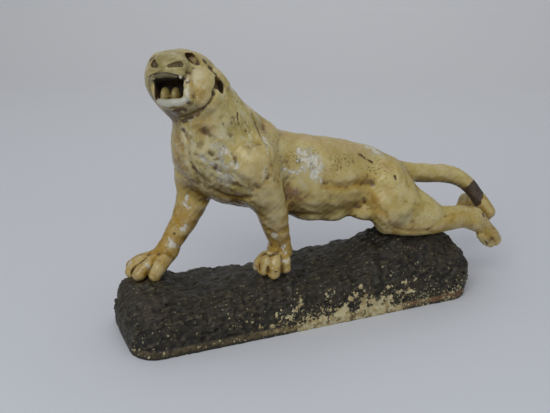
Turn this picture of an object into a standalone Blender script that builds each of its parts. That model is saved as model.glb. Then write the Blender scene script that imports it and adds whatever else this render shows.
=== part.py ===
"""A roaring big cat standing on a long rock: one ceramic casting, modelled as a single solid.

Millimetres throughout, turned into metres when the mesh is made. X runs along the rock with the animal facing -X,
the animal's left side faces -Y, Z is up and the underside of the rock lies at Z = 0.
The figure is built up the way it would be in clay: rounded lumps pressed together, with hollows cut in.
"""
import bpy
import numpy as np

GRID = 3.0               # spacing of the modelling grid
TRIANGLES = 9200         # target for the finished solid

# ---------------------------------------------------------------- dimensions, millimetres
BASE_LENGTH = 420.0      # rock base, left to right (X)
BASE_WIDTH = 126.0       # rock base, front to back (Y)
BASE_CORNER = 29.0       # plan corner radius of the rock
BASE_FLARE = 4.0         # how much narrower the rock is at its top than at its foot
PLINTH_HEIGHT = 9.0      # thin foot band round the bottom of the rock
PLINTH_STEP = 1.6        # how far the foot band stands out
HEAD_AT = (-133.3, -4.0, 284.6)      # middle of the skull
HEAD_TURN, HEAD_LIFT, HEAD_ROLL = 37.0, 30.0, 6.0   # degrees: towards the viewer, up, sideways
SPACE_LO = (-222.0, -78.0, -9.0)
SPACE_HI = (308.0, 78.0, 336.0)

# rock top heights; one row per station along X, columns at Y = -54, -26, 4, 30, 56
ROCK_Y = (-54.0, -26.0, 4.0, 30.0, 56.0)
ROCK_TOP = (
    (-205.0, (47, 54, 57, 55, 46)),
    (-170.0, (48, 56, 60, 60, 50)),
    (-125.0, (42, 47, 47, 48, 46)),
    (-80.0, (43, 51, 47, 44, 43)),
    (-40.0, (50, 65, 55, 44, 40)),
    (0.0, (45, 51, 50, 49, 45)),
    (45.0, (46, 53, 57, 53, 48)),
    (85.0, (52, 72, 76, 58, 46)),
    (125.0, (56, 84, 88, 68, 52)),
    (165.0, (56, 80, 82, 66, 52)),
    (205.0, (54, 66, 64, 58, 48)),
)


# swellings of the rock: middle, half sizes
ROCK_BULGES = (
    ((194.0, -24.0, 26.0), (21.0, 36.0, 25.0)),
    ((-195.0, -6.0, 26.0), (18.0, 42.0, 22.0)),
)


# ---------------------------------------------------------------- distance field tools
class Field:
    def __init__(self, lo, hi, h, init=60.0):
        self.lo = np.array(lo, float)
        self.h = float(h)
        self.n = (np.ceil((np.array(hi, float) - self.lo) / h)).astype(int) + 1
        self.ax = [(self.lo[i] + h * np.arange(self.n[i])).astype(np.float32) for i in range(3)]
        self.d = np.full(tuple(self.n), init, np.float32)

    def window(self, lo, hi):
        a = np.clip(np.floor((np.array(lo) - self.lo) / self.h).astype(int), 0, self.n)
        b = np.clip(np.ceil((np.array(hi) - self.lo) / self.h).astype(int) + 1, 0, self.n)
        return tuple(slice(int(a[i]), int(max(a[i], b[i]))) for i in range(3))

    def xyz(self, q):
        return (self.ax[0][q[0]][:, None, None], self.ax[1][q[1]][None, :, None],
                self.ax[2][q[2]][None, None, :])


def smin(a, b, k):
    if k <= 0:
        return np.minimum(a, b)
    t = np.clip(0.5 + 0.5 * (b - a) / k, 0, 1)
    return b + (a - b) * t - k * t * (1 - t)


def smax(a, b, k):
    return -smin(-a, -b, k)


def cone_distance(x, y, z, a, b, ra, rb):
    """round-ended cone from a to b"""
    ax, ay, az = (np.float32(v) for v in a[:3])
    bx, by, bz = b[0] - a[0], b[1] - a[1], b[2] - a[2]
    length = float(np.sqrt(bx * bx + by * by + bz * bz)) + 1e-6
    bx, by, bz = bx / length, by / length, bz / length
    px, py, pz = x - ax, y - ay, z - az
    t = px * np.float32(bx) + py * np.float32(by) + pz * np.float32(bz)
    pp = px * px + py * py + pz * pz
    q = np.sqrt(np.maximum(pp - t * t, 0))
    s = float(np.clip((ra - rb) / length, -0.999, 0.999))
    c = float(np.sqrt(1 - s * s))
    k = c * t - s * q
    d = c * q + s * t - ra
    d = np.where(k < 0, np.sqrt(pp) - ra, d)
    return np.where(k > c * length, np.sqrt(q * q + (t - length) ** 2) - rb, d).astype(np.float32)


def curve(points, n=4):
    """smooth line through the listed points"""
    p = np.array(points, float)
    if len(p) < 3:
        return p
    q = np.vstack([2 * p[0] - p[1], p, 2 * p[-1] - p[-2]])
    out = []
    for i in range(1, len(q) - 2):
        a, b, c, d = q[i - 1], q[i], q[i + 1], q[i + 2]
        for t in np.arange(n) / n:
            out.append(0.5 * (2 * b + (c - a) * t + (2 * a - 5 * b + 4 * c - d) * t * t
                              + (3 * b - a - 3 * c + d) * t ** 3))
    out.append(p[-1])
    return np.array(out)


class Clay:
    """adds and cuts rounded lumps in a distance field"""

    def __init__(self, field):
        self.f = field

    def region(self, pts, m):
        pts = np.atleast_2d(pts)
        q = self.f.window(pts.min(0) - m, pts.max(0) + m)
        return q if self.f.d[q].size else None

    def merge(self, q, d, k, cut):
        self.f.d[q] = smax(self.f.d[q], -d, k) if cut else smin(self.f.d[q], d, k)

    def tube(self, points, k=6.0, flat=1.0, cut=False, n=4):
        """limb through points (x, y, z, radius); flat > 1 makes it narrower front to back"""
        p = curve(points, n)
        q = self.region(p[:, :3], p[:, 3].max() + k + 4)
        if q is None:
            return
        x, y, z = self.f.xyz(q)
        s = np.array([1.0, flat, 1.0])
        d = None
        for a, b in zip(p[:-1], p[1:]):
            e = cone_distance(x, y * np.float32(flat), z, a[:3] * s, b[:3] * s, a[3], b[3])
            d = e if d is None else np.minimum(d, e)
        self.merge(q, d, k, cut)

    def egg(self, c, r, k=6.0, axes=None, cut=False):
        c = np.array(c, float)
        q = self.region(c, max(r) * 1.4 + k + 6)
        if q is None:
            return
        x, y, z = self.f.xyz(q)
        px, py, pz = x - np.float32(c[0]), y - np.float32(c[1]), z - np.float32(c[2])
        if axes is None:
            u, v, w = px, py, pz
        else:
            u, v, w = (px * np.float32(a[0]) + py * np.float32(a[1]) + pz * np.float32(a[2])
                       for a in axes)
        k0 = np.sqrt((u / r[0]) ** 2 + (v / r[1]) ** 2 + (w / r[2]) ** 2)
        k1 = np.sqrt((u / r[0] ** 2) ** 2 + (v / r[1] ** 2) ** 2 + (w / r[2] ** 2) ** 2) + 1e-6
        self.merge(q, (k0 * (k0 - 1) / k1).astype(np.float32), k, cut)

    def block(self, c, half, radius, k=2.0, axes=None, cut=True):
        c = np.array(c, float)
        q = self.region(c, float(np.linalg.norm(half)) + k + 3)
        if q is None:
            return
        x, y, z = self.f.xyz(q)
        px, py, pz = x - np.float32(c[0]), y - np.float32(c[1]), z - np.float32(c[2])
        a = np.eye(3) if axes is None else axes
        w = [np.abs(px * np.float32(a[i][0]) + py * np.float32(a[i][1]) + pz * np.float32(a[i][2]))
             - np.float32(half[i] - radius) for i in range(3)]
        out = np.sqrt(sum(np.maximum(v, 0) ** 2 for v in w))
        d = out + np.minimum(np.maximum(w[0], np.maximum(w[1], w[2])), 0) - radius
        self.merge(q, d.astype(np.float32), k, cut)

    def line(self, points, width, depth, n=4):
        """modelling-tool mark: depth > 0 sinks a groove, depth < 0 raises a ridge"""
        p = curve(points, n)
        q = self.region(p, width * 2.6 + 2)
        if q is None:
            return
        x, y, z = self.f.xyz(q)
        d = None
        for a, b in zip(p[:-1], p[1:]):
            e = cone_distance(x, y, z, a, b, 0.01, 0.01)
            d = e if d is None else np.minimum(d, e)
        self.f.d[q] += (depth * np.exp(-(d / width) ** 2)).astype(np.float32)

    def dab(self, c, w, depth):
        """soft dent (depth > 0) or swelling (depth < 0)"""
        w = np.array(w if hasattr(w, '__len__') else (w, w, w), float)
        c = np.array(c, float)
        q = self.region(c, w.max() * 2.6 + 2)
        if q is None:
            return
        x, y, z = self.f.xyz(q)
        e = ((x - c[0]) / w[0]) ** 2 + ((y - c[1]) / w[1]) ** 2 + ((z - c[2]) / w[2]) ** 2
        self.f.d[q] += (depth * np.exp(-e)).astype(np.float32)


# ---------------------------------------------------------------- rock
def spread(table_x, values, x):
    """smooth interpolation along one line of stations"""
    tx = np.array(table_x, float)
    v = np.array(values, float)
    i = np.clip(np.searchsorted(tx, x) - 1, 0, len(tx) - 2)
    t = np.clip((x - tx[i]) / (tx[i + 1] - tx[i]), 0, 1)
    t = t * t * (3 - 2 * t)
    return v[i] * (1 - t)[:, None] + v[i + 1] * t[:, None]


def rock_top(x, y):
    """height of the rock over a grid of x by y"""
    rows = spread([r[0] for r in ROCK_TOP], [r[1] for r in ROCK_TOP], x)
    cols = spread(ROCK_Y, rows.T, y)
    return cols.T


def lumps(x, y, z, size, seed, count=5):
    """rounded random swellings, about -1 to 1"""
    rng = np.random.RandomState(seed)
    out = 0.0
    for _ in range(count):
        v = rng.normal(size=3)
        v = v / np.linalg.norm(v) * (6.2832 / size) * rng.uniform(0.7, 1.3)
        out = out + np.sin(x * np.float32(v[0]) + y * np.float32(v[1]) + z * np.float32(v[2])
                           + np.float32(rng.uniform(0, 6.28)))
    return (out / np.sqrt(count)).astype(np.float32)


def rock_distance(f, q):
    x, y, z = f.xyz(q)
    top = rock_top(f.ax[0][q[0]].astype(float), f.ax[1][q[1]].astype(float)).astype(np.float32)[:, :, None]
    inset = BASE_FLARE * np.clip(z / 52.0, 0, 1.3) ** 1.4
    inset = inset + PLINTH_STEP * np.clip((z - PLINTH_HEIGHT) / 2.0, 0, 1)
    qx = np.abs(x) - (BASE_LENGTH / 2 - BASE_CORNER) + inset
    qy = np.abs(y) - (BASE_WIDTH / 2 - BASE_CORNER) + inset
    side = np.sqrt(np.maximum(qx, 0) ** 2 + np.maximum(qy, 0) ** 2) + np.minimum(np.maximum(qx, qy), 0) - BASE_CORNER
    fade = np.clip((z - PLINTH_HEIGHT) / 14.0, 0, 1)
    side = side + fade * (1.5 * lumps(x, y, z, 46.0, 5) + 0.9 * lumps(x, y, z, 21.0, 6))
    cap = (z - top) * np.float32(0.9) + 1.3 * lumps(x, y, z, 34.0, 7) + 0.8 * lumps(x, y, z, 16.0, 8)
    return smax(side, cap, 16.0)


def add_rock(clay, k):
    f = clay.f
    q = f.window((-222, -78, -9), (222, 78, 110))
    if f.d[q].size:
        d = rock_distance(f, q)
        x, y, z = f.xyz(q)
        for c, r in ROCK_BULGES:
            k0 = np.sqrt(((x - c[0]) / r[0]) ** 2 + ((y - c[1]) / r[1]) ** 2 + ((z - c[2]) / r[2]) ** 2)
            d = smin(d, ((k0 - 1) * min(r)).astype(np.float32), 12.0)
        f.d[q] = smin(f.d[q], d, k)


# ---------------------------------------------------------------- the animal
def body(c):
    # trunk, chest and neck
    c.tube([(-98, -1, 208, 36), (-72, 0, 190, 44), (-20, 0, 172, 46), (22, 0, 160, 48), (60, 0, 154, 43), (98, 0, 145, 34), (126, 0, 138, 23)], 0, 1.22)
    c.tube([(-78, 0, 192, 38), (-95, -2, 231, 40), (-110, -4, 258, 34.5), (-125, -6, 280, 28)], 26)
    c.egg((-110, 14, 208), (28, 31, 40), 14)
    c.egg((-106, -5, 270), (20, 24, 22), 14)
    # far foreleg, set forward
    c.tube([(-98, 31, 206, 31), (-107, 32, 178, 26), (-113, 29, 147, 19), (-124.5, 27, 122, 15.2), (-139, 26, 100, 12.3), (-148, 25, 86, 11.5)], 14)
    # near foreleg, propping the chest
    c.tube([(-68, -32, 200, 29), (-58, -36, 175, 24), (-46.5, -35, 150, 18.5), (-38, -31, 122, 15), (-32, -28, 102, 12.6), (-31, -26, 88, 13)], 14)
    # far paw
    c.tube([(-148, 25, 86, 11.5), (-159, 24, 75, 13), (-171, 24, 69, 12)], 6)
    for toe in (((-157, 31, 77, 8), (-174, 37, 73, 8.4), (-186, 38, 67, 7.6)),
                ((-164, 28, 79, 8), (-182, 29, 73, 8), (-190, 28, 66, 7.2)),
                ((-162, 20, 79, 8.5), (-176, 19, 73, 8.4), (-184, 16, 66, 7.4)),
                ((-155, 13, 80, 8.5), (-163, 9, 74, 9), (-168, 7, 67, 7.8))):
        c.tube(toe, 2.4)
    # near paw
    c.tube([(-31, -26, 88, 13), (-35, -28, 81, 13), (-39, -30, 74, 12.5)], 6)
    for top, foot in (((-50, -27, 84, 5.8), (-58, -26, 72, 5.6)), ((-46, -31, 86, 7), (-54, -34.5, 71, 6.4)),
                      ((-38.5, -34, 87, 7.4), (-43.5, -41, 68.5, 7.4)), ((-29, -32, 86, 6.8), (-28, -37, 70, 6.0))):
        mid = tuple(0.5 * (p + q) for p, q in zip(top, foot))
        c.tube([top, (mid[0] - 1.0, mid[1] - 2.5, mid[2] + 2.0, mid[3] + 0.6), foot], 1.8)
    # near hind leg: hip, thigh, knee, shank laid back over the rock, foot
    c.tube([(104, -16, 144, 31), (103, -29, 124, 26), (102, -34, 108, 15)], 16)
    c.tube([(104, -34, 104, 13), (130, -36, 101, 16.5), (166, -36, 98, 16), (200, -35, 96, 14), (222, -34, 90, 13)], 8)
    c.tube([(120, -28, 128, 24), (150, -32, 111, 19)], 14)
    c.tube([(222, -34, 90, 12.5), (238, -34, 76, 10.8), (250, -34, 64, 9.6), (257, -34, 56.5, 8.2)], 6)
    c.tube([(234, -38, 68, 7), (240, -40, 60, 6.6), (247, -39, 55, 5.5)], 2)
    # far hind leg
    c.tube([(108, 18, 142, 30), (122, 27, 112, 22), (160, 30, 78, 13), (200, 29, 68, 11), (232, 28, 66, 10), (247, 27, 76, 9)], 10)
    c.tube([(251, 27, 87, 9.5), (264, 27, 83, 11), (280, 27, 75, 10.5)], 6)
    # belly folds and spine
    c.egg((20, -10, 122.5), (22, 15, 10), 9)
    c.egg((42, -14, 120), (16, 14, 11), 8)
    c.egg((62, -12, 122), (13, 12, 9), 7)
    c.egg((75, -24, 119), (13, 14, 10.5), 8)
    c.tube([(-84, -4, 250, 12), (-62, -2, 233, 14.5), (-42, 0, 219, 14)], 14)
    c.egg((80, 0, 178), (20, 12, 9), 12)
    # tail, hanging over the near hock
    c.tube([(118, 2, 146, 20), (130, 2, 148, 15), (146, 3, 148, 12.5), (174, 4, 143, 11.5), (204, 2, 138, 11), (222, -1, 130, 10), (235, -6, 118, 9.3), (243, -13, 105, 9), (248, -19, 96, 9), (251.5, -23, 90, 8.7)], 9)


def head_axes():
    a, e, r = np.radians(HEAD_TURN), np.radians(HEAD_LIFT), np.radians(HEAD_ROLL)
    fwd = np.array([-np.cos(e) * np.sin(a), -np.cos(e) * np.cos(a), np.sin(e)])
    side = np.array([np.cos(a), -np.sin(a), 0.0])
    up = np.cross(fwd, side)
    up = up if up[2] > 0 else -up
    return np.cos(r) * side + np.sin(r) * up, fwd, np.cos(r) * up - np.sin(r) * side


def head(c):
    """head in its own axes: x to the animal's left, y out of the face, z to the crown"""
    S, F, U = head_axes()
    o = np.array(HEAD_AT)

    def g(p):
        return tuple(o + p[0] * S + p[1] * F + p[2] * U)

    def axes(rx=0.0, rz=0.0):
        a, b = np.radians(rx), np.radians(rz)
        f2, u2 = np.cos(a) * F + np.sin(a) * U, -np.sin(a) * F + np.cos(a) * U
        return np.array([np.cos(b) * S + np.sin(b) * f2, -np.sin(b) * S + np.cos(b) * f2, u2])

    def egg(p, r, k=4.0, cut=False, rx=0.0, rz=0.0):
        c.egg(g(p), r, k, axes(rx, rz), cut)

    def tube(pts, k=4.0, cut=False, n=3):
        c.tube([g(p[:3]) + (p[3],) for p in pts], k, 1.0, cut, n)

    def line(pts, width, depth):
        c.line([g(p) for p in pts], width, depth)

    def turned(long, out):
        """axes with the first along long and the last near out, both given in head axes"""
        a = long[0] * S + long[1] * F + long[2] * U
        b = out[0] * S + out[1] * F + out[2] * U
        a = a / np.linalg.norm(a)
        b = b - (b @ a) * a
        b = b / np.linalg.norm(b)
        return np.array([a, np.cross(b, a), b])

    egg((0, -6, 2), (33, 33, 36), 8)                   # skull
    egg((10, -16, 10), (24, 22, 24), 8)
    egg((-20, 4, 18.5), (12.5, 14, 15), 6)                 # far brow
    egg((26, 0, -9), (16.5, 24, 24), 7)
    egg((21, 13, -11), (9.5, 14, 17), 8)                # cheeks
    egg((-21, 2, 5), (15, 22, 19), 8)
    egg((8, 6, -19), (17, 20, 15), 8)                  # jaw
    egg((5, 18, -27), (15, 14, 9), 5)                  # chin
    egg((-2, 14, 12), (21.5, 26, 18), 5)               # muzzle
    egg((-2.2, 30, 8), (20.8, 14, 13), 5)
    egg((-3.5, 32, -0.5), (20.5, 9.5, 6), 4)                    # upper lip
    tube([(-16, 24, -4, 5), (-17, 22, -14, 5), (-11, 22, -23, 5)], 5)   # lip corners
    tube([(15, 26, -5, 5.5), (18, 24, -14, 6), (15, 24, -24, 5.5)], 4)
    tube([(16.5, 28.5, -4, 3), (18.2, 28.5, -12, 3.0), (17.8, 27.5, -21, 3.0)], 3.5)
    # near eye: brow, socket, ball, lower lid
    tube([(9, 25, 22, 4), (16, 20, 23.6, 4), (22.5, 12, 21.5, 4), (27.5, 6, 16, 4)], 4)
    c.egg(g((17.6, 19.8, 19.4)), (7.6, 5.0, 5.0), 1.5, turned((10, -8, -7.0), (0.3, 0.9, 0.25)), True)
    c.egg(g((18.8, 16.0, 18.4)), (5.2, 3.9, 3.9), 0.8, turned((10, -8, -7.5), (0.3, 0.9, 0.25)))
    line([(12, 27, 17), (17, 23, 13), (23, 18, 10.5), (27, 14, 10)], 1.8, -1.0)
    # far eye
    egg((-17, 19, 24.5), (8, 6, 3), 2, True, rz=25)
    egg((-17, 16, 23.5), (6, 4, 3), 1, rz=25)
    # nostrils and the pad between them
    egg((-15.8, 39, 10.8), (4.2, 6, 4.0), 1.0, True)
    tube([(-14.5, 40.5, 9, 3.4), (-9.5, 43.5, 5.8, 1.5)], 1.0, True)
    tube([(2, 43.5, 4.8, 1.0), (8, 41.5, 6.8, 2.4), (13.2, 38.5, 8.2, 3.2)], 1.0, True)
    c.block(g((-1.0, 30, -14.6)), (15.3, 25, 10.9), 4, 1.2, axes(-6))        # open mouth
    egg((-8.4, 17, -18), (5.3, 11, 9.4), 1.0)          # tongue, in two lobes
    egg((2.8, 16, -18.2), (4.9, 11, 9.0), 1.0)
    tube([(12.2, 34.5, -1, 2.0), (12.6, 34, -5.2, 1.0)], 0.6)                       # one tooth
    tube([(-11, 26.5, -26, 3.6), (-3, 29, -28.5, 4), (4, 30, -29, 4), (12, 28, -28, 3.8), (18, 25.5, -23.5, 3.4)], 3)   # lower lip
    # near ear laid back: flap, hollow under it
    tube([(25, 0, 20.5, 4.2), (30, -0.5, 15.4, 5.2), (36.2, -3.4, 10, 5.9), (42, -8, 4.6, 5.6), (46, -12, 0.6, 4.6)], 2)
    c.egg(g((41.2, -0.9, -3.4)), (9.6, 5.2, 8.6), 1.0, turned((6, -4, -12), (0.55, 0.83, 0.1)), True)
    # far ear
    tube([(-22, -10, 24, 7), (-32, -20, 18, 7), (-36, -30, 11, 5)], 4)
    egg((-38, -21, 11), (4, 8, 5), 1.5, True)
    # lip edge, muzzle folds, jaw fold behind the cheek
    line([(-15, 37, -3), (-11, 40, -1), (-5, 42, 0), (1, 42, -2), (6, 41, -3), (11, 37, -4), (16, 31, -5)], 1.1, 1.6)
    line([(28, 10, 20), (31.3, 9, 16.8), (34.3, 7, 12.8), (37, 3.5, 8.5), (38.5, 0, 4.5)], 1.5, 2.4)     # ear to head
    line([(14, 26, 21), (18, 25, 16), (20, 26, 10), (18, 29, 3), (16, 32, -4)], 1.9, 1.3)
    line([(39.5, 4, 0), (39, 8, -12), (37, 8.5, -19), (31, 9, -26.5), (22.5, 7.5, -32.5), (13.5, 5, -37)], 2.7, 2.6)
    c.dab(g((39.5, 8, -13)), (4, 4, 4), 2.2)


def outer_skin(v, quads):
    """keep the one largest closed skin and drop sealed pockets"""
    label = np.arange(len(v))
    while True:
        m = label[quads].min(1)
        new = label.copy()
        for i in range(4):
            np.minimum.at(new, quads[:, i], m)
        new = new[new]
        if (new == label).all():
            break
        label = new
    own = label[quads[:, 0]]
    names, count = np.unique(own, return_counts=True)
    quads = quads[own == names[count.argmax()]]
    used, quads = np.unique(quads, return_inverse=True)
    return v[used], quads.reshape(-1, 4)


def surface(f):
    """closed quad mesh on the zero level of the field"""
    d = f.d
    s = d < 0
    nx, ny, nz = d.shape
    c = np.zeros((nx - 1, ny - 1, nz - 1), bool)
    ref = s[:-1, :-1, :-1]
    for i in (0, 1):
        for j in (0, 1):
            for k in (0, 1):
                c |= s[i:nx - 1 + i, j:ny - 1 + j, k:nz - 1 + k] != ref
    cells = np.argwhere(c)
    idx = np.full(c.shape, -1, np.int64)
    idx[tuple(cells.T)] = np.arange(len(cells))
    acc = np.zeros((len(cells), 3))
    cnt = np.zeros(len(cells))
    corners = [(i, j, k) for i in (0, 1) for j in (0, 1) for k in (0, 1)]
    for a in corners:
        for b in corners:
            if a > b or sum(abs(a[i] - b[i]) for i in range(3)) != 1:
                continue
            da = d[cells[:, 0] + a[0], cells[:, 1] + a[1], cells[:, 2] + a[2]].astype(float)
            db = d[cells[:, 0] + b[0], cells[:, 1] + b[1], cells[:, 2] + b[2]].astype(float)
            m = (da < 0) != (db < 0)
            t = np.where(m, da / np.where(m, da - db, 1), 0)
            acc += (np.array(a)[None, :] + t[:, None] * (np.array(b) - np.array(a))[None, :]) * m[:, None]
            cnt += m
    v = f.lo + f.h * (cells + acc / cnt[:, None])
    quads = []
    for axis in range(3):
        o = [i for i in range(3) if i != axis]
        near, far = [slice(1, -1)] * 3, [slice(1, -1)] * 3
        near[axis], far[axis] = slice(0, -1), slice(1, None)
        inside, outside = s[tuple(near)], s[tuple(far)]
        e = np.argwhere(inside != outside)
        solid_first = inside[tuple(e.T)]
        e[:, o[0]] += 1
        e[:, o[1]] += 1
        ring = []
        for du, dv in ((-1, -1), (0, -1), (0, 0), (-1, 0)):
            g = e.copy()
            g[:, o[0]] += du
            g[:, o[1]] += dv
            ring.append(idx[g[:, 0], g[:, 1], g[:, 2]])
        q = np.stack(ring, 1)
        turn = ~solid_first if axis != 1 else solid_first
        q[turn] = q[turn][:, ::-1]
        quads.append(q)
    return outer_skin(v, np.vstack(quads))


def untangle(d):
    """fill corners where two walls would meet along one edge or at one point, so the skin stays closed"""
    for _ in range(12):
        s = d < 0
        hit = np.zeros(d.shape, bool)
        for i, j in ((0, 1), (0, 2), (1, 2)):
            a = [[slice(None)] * 3 for _ in range(4)]
            for m, (u, v) in enumerate(((0, 0), (0, 1), (1, 1), (1, 0))):
                a[m][i] = slice(0, -1) if u == 0 else slice(1, None)
                a[m][j] = slice(0, -1) if v == 0 else slice(1, None)
            w = [s[tuple(q)] for q in a]
            bad = (w[0] == w[2]) & (w[1] == w[3]) & (w[0] != w[1])
            for q in a:
                hit[tuple(q)] |= bad
        lo, hi = slice(0, -1), slice(1, None)
        cube = {(i, j, k): s[(lo, hi)[i], (lo, hi)[j], (lo, hi)[k]] for i in (0, 1) for j in (0, 1) for k in (0, 1)}
        total = sum(c.astype(np.int8) for c in cube.values())
        for (i, j, k), one in cube.items():
            other = cube[(1 - i, 1 - j, 1 - k)]
            bad = (one & other & (total == 2)) | (~one & ~other & (total == 6))
            for (a0, b0, c0) in cube:
                hit[(lo, hi)[a0], (lo, hi)[b0], (lo, hi)[c0]] |= bad
        hit &= ~s
        if not hit.any():
            break
        d[hit] = -0.02
    return d


def sculpture(h, lo=SPACE_LO, hi=SPACE_HI, rock=True):
    f = Field(lo, hi, h)
    c = Clay(f)
    body(c)
    head(c)
    if rock:
        add_rock(c, 3.0)
        x, y, z = f.xyz((slice(None),) * 3)
        f.d = np.maximum(f.d, -z)
    untangle(f.d)
    return f

# ---------------------------------------------------------------- mesh
def main():
    for old in list(bpy.data.objects):
        bpy.data.objects.remove(old, do_unlink=True)

    verts, quads = surface(sculpture(GRID))
    low = verts[:, 2] < 0.6
    verts[low, 2] = 0.0

    mesh = bpy.data.meshes.new("big_cat_on_rock")
    mesh.from_pydata((verts / 1000.0).tolist(), [], quads.tolist())
    mesh.validate()
    draft = bpy.data.objects.new("draft", mesh)
    bpy.context.scene.collection.objects.link(draft)

    thin = draft.modifiers.new("thin", 'DECIMATE')
    thin.ratio = TRIANGLES / (2.0 * len(quads))
    thin.use_collapse_triangulate = True
    ready = bpy.context.evaluated_depsgraph_get()
    final = bpy.data.meshes.new_from_object(draft.evaluated_get(ready))
    bpy.data.objects.remove(draft, do_unlink=True)

    # the underside is dead flat
    for v in final.vertices:
        if v.co.z < 0.0008:
            v.co.z = 0.0
    for p in final.polygons:
        p.use_smooth = True

    glaze = bpy.data.materials.new("painted_casting")
    glaze.use_nodes = True
    shader = glaze.node_tree.nodes["Principled BSDF"]
    shader.inputs["Base Color"].default_value = (0.52, 0.43, 0.22, 1.0)
    shader.inputs["Roughness"].default_value = 0.42
    final.materials.clear()
    final.materials.append(glaze)

    cat = bpy.data.objects.new("big_cat_on_rock", final)
    bpy.context.scene.collection.objects.link(cat)


main()
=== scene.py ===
"""Looks of the roaring big cat on its rock: a painted and worn ceramic casting.

Lengths in the modelling code are millimetres and are turned into metres when a mesh is made. X runs along the rock with
the animal facing -X, the animal's left side faces -Y, Z is up and the underside of the rock lies at Z = 0.
The forms are built as in clay: rounded lumps pressed together, hollows cut in, strokes drawn over them. The paint is
procedural; where it changes is worked out at each vertex from the clay itself and from named places on the animal.
"""
import bpy
import mathutils
import numpy as np
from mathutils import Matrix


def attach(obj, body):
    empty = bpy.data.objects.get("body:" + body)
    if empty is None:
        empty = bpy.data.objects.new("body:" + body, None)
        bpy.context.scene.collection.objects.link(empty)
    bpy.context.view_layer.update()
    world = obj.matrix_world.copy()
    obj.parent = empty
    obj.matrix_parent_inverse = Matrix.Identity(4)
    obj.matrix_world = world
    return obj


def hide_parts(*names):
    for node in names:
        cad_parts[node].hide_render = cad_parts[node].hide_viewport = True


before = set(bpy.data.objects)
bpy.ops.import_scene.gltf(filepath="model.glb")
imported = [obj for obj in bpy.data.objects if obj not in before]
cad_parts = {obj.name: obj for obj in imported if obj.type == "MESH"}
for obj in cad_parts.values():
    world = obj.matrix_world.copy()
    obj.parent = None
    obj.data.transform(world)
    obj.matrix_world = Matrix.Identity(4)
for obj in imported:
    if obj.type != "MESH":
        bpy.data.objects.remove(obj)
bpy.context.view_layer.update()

CAT_GRID = 1.0           # spacing of the modelling grids, millimetres
ROCK_GRID = 1.0
CAT_LIMIT = 196000       # most triangles in each piece
ROCK_LIMIT = 190000
CAMERA_AT = (-0.387, -0.8817, 0.5105)
CAMERA_PITCH = 21.74     # degrees below level
CAMERA_AZIMUTH = 22.28   # degrees from +Y towards +X
CAMERA_LENS = 58.87      # on a 36 mm wide sensor

# ---------------------------------------------------------------- dimensions, millimetres
BASE_LENGTH = 420.0      # rock base, left to right (X)
BASE_WIDTH = 126.0       # rock base, front to back (Y)
BASE_CORNER = 29.0       # plan corner radius of the rock
BASE_FLARE = 4.0         # how much narrower the rock is at its top than at its foot
PLINTH_HEIGHT = 9.0      # thin foot band round the bottom of the rock
PLINTH_STEP = 1.6        # how far the foot band stands out
HEAD_AT = (-133.3, -4.0, 284.6)      # middle of the skull
HEAD_TURN, HEAD_LIFT, HEAD_ROLL = 37.0, 30.0, 6.0   # degrees: towards the viewer, up, sideways
SPACE_LO = (-222.0, -78.0, -9.0)
SPACE_HI = (308.0, 78.0, 336.0)

# rock top heights; one row per station along X, columns at Y = -54, -26, 4, 30, 56
ROCK_Y = (-54.0, -26.0, 4.0, 30.0, 56.0)
ROCK_TOP = (
    (-205.0, (47, 54, 57, 55, 46)),
    (-170.0, (48, 56, 60, 60, 50)),
    (-125.0, (42, 47, 47, 48, 46)),
    (-80.0, (43, 51, 47, 44, 43)),
    (-40.0, (50, 65, 55, 44, 40)),
    (0.0, (45, 51, 50, 49, 45)),
    (45.0, (46, 53, 57, 53, 48)),
    (85.0, (52, 72, 76, 58, 46)),
    (125.0, (56, 84, 88, 68, 52)),
    (165.0, (56, 80, 82, 66, 52)),
    (205.0, (54, 66, 64, 58, 48)),
)


# swellings of the rock: middle, half sizes
ROCK_BULGES = (
    ((194.0, -24.0, 26.0), (21.0, 36.0, 25.0)),
    ((-195.0, -6.0, 26.0), (18.0, 42.0, 22.0)),
)


# ---------------------------------------------------------------- distance field tools
class Field:
    def __init__(self, lo, hi, h, init=60.0):
        self.lo = np.array(lo, float)
        self.h = float(h)
        self.n = (np.ceil((np.array(hi, float) - self.lo) / h)).astype(int) + 1
        self.ax = [(self.lo[i] + h * np.arange(self.n[i])).astype(np.float32) for i in range(3)]
        self.d = np.full(tuple(self.n), init, np.float32)

    def window(self, lo, hi):
        a = np.clip(np.floor((np.array(lo) - self.lo) / self.h).astype(int), 0, self.n)
        b = np.clip(np.ceil((np.array(hi) - self.lo) / self.h).astype(int) + 1, 0, self.n)
        return tuple(slice(int(a[i]), int(max(a[i], b[i]))) for i in range(3))

    def xyz(self, q):
        return (self.ax[0][q[0]][:, None, None], self.ax[1][q[1]][None, :, None],
                self.ax[2][q[2]][None, None, :])


def smin(a, b, k):
    if k <= 0:
        return np.minimum(a, b)
    t = np.clip(0.5 + 0.5 * (b - a) / k, 0, 1)
    return b + (a - b) * t - k * t * (1 - t)


def smax(a, b, k):
    return -smin(-a, -b, k)


def cone_distance(x, y, z, a, b, ra, rb):
    """round-ended cone from a to b"""
    ax, ay, az = (np.float32(v) for v in a[:3])
    bx, by, bz = b[0] - a[0], b[1] - a[1], b[2] - a[2]
    length = float(np.sqrt(bx * bx + by * by + bz * bz)) + 1e-6
    bx, by, bz = bx / length, by / length, bz / length
    px, py, pz = x - ax, y - ay, z - az
    t = px * np.float32(bx) + py * np.float32(by) + pz * np.float32(bz)
    pp = px * px + py * py + pz * pz
    q = np.sqrt(np.maximum(pp - t * t, 0))
    s = float(np.clip((ra - rb) / length, -0.999, 0.999))
    c = float(np.sqrt(1 - s * s))
    k = c * t - s * q
    d = c * q + s * t - ra
    d = np.where(k < 0, np.sqrt(pp) - ra, d)
    return np.where(k > c * length, np.sqrt(q * q + (t - length) ** 2) - rb, d).astype(np.float32)


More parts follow.
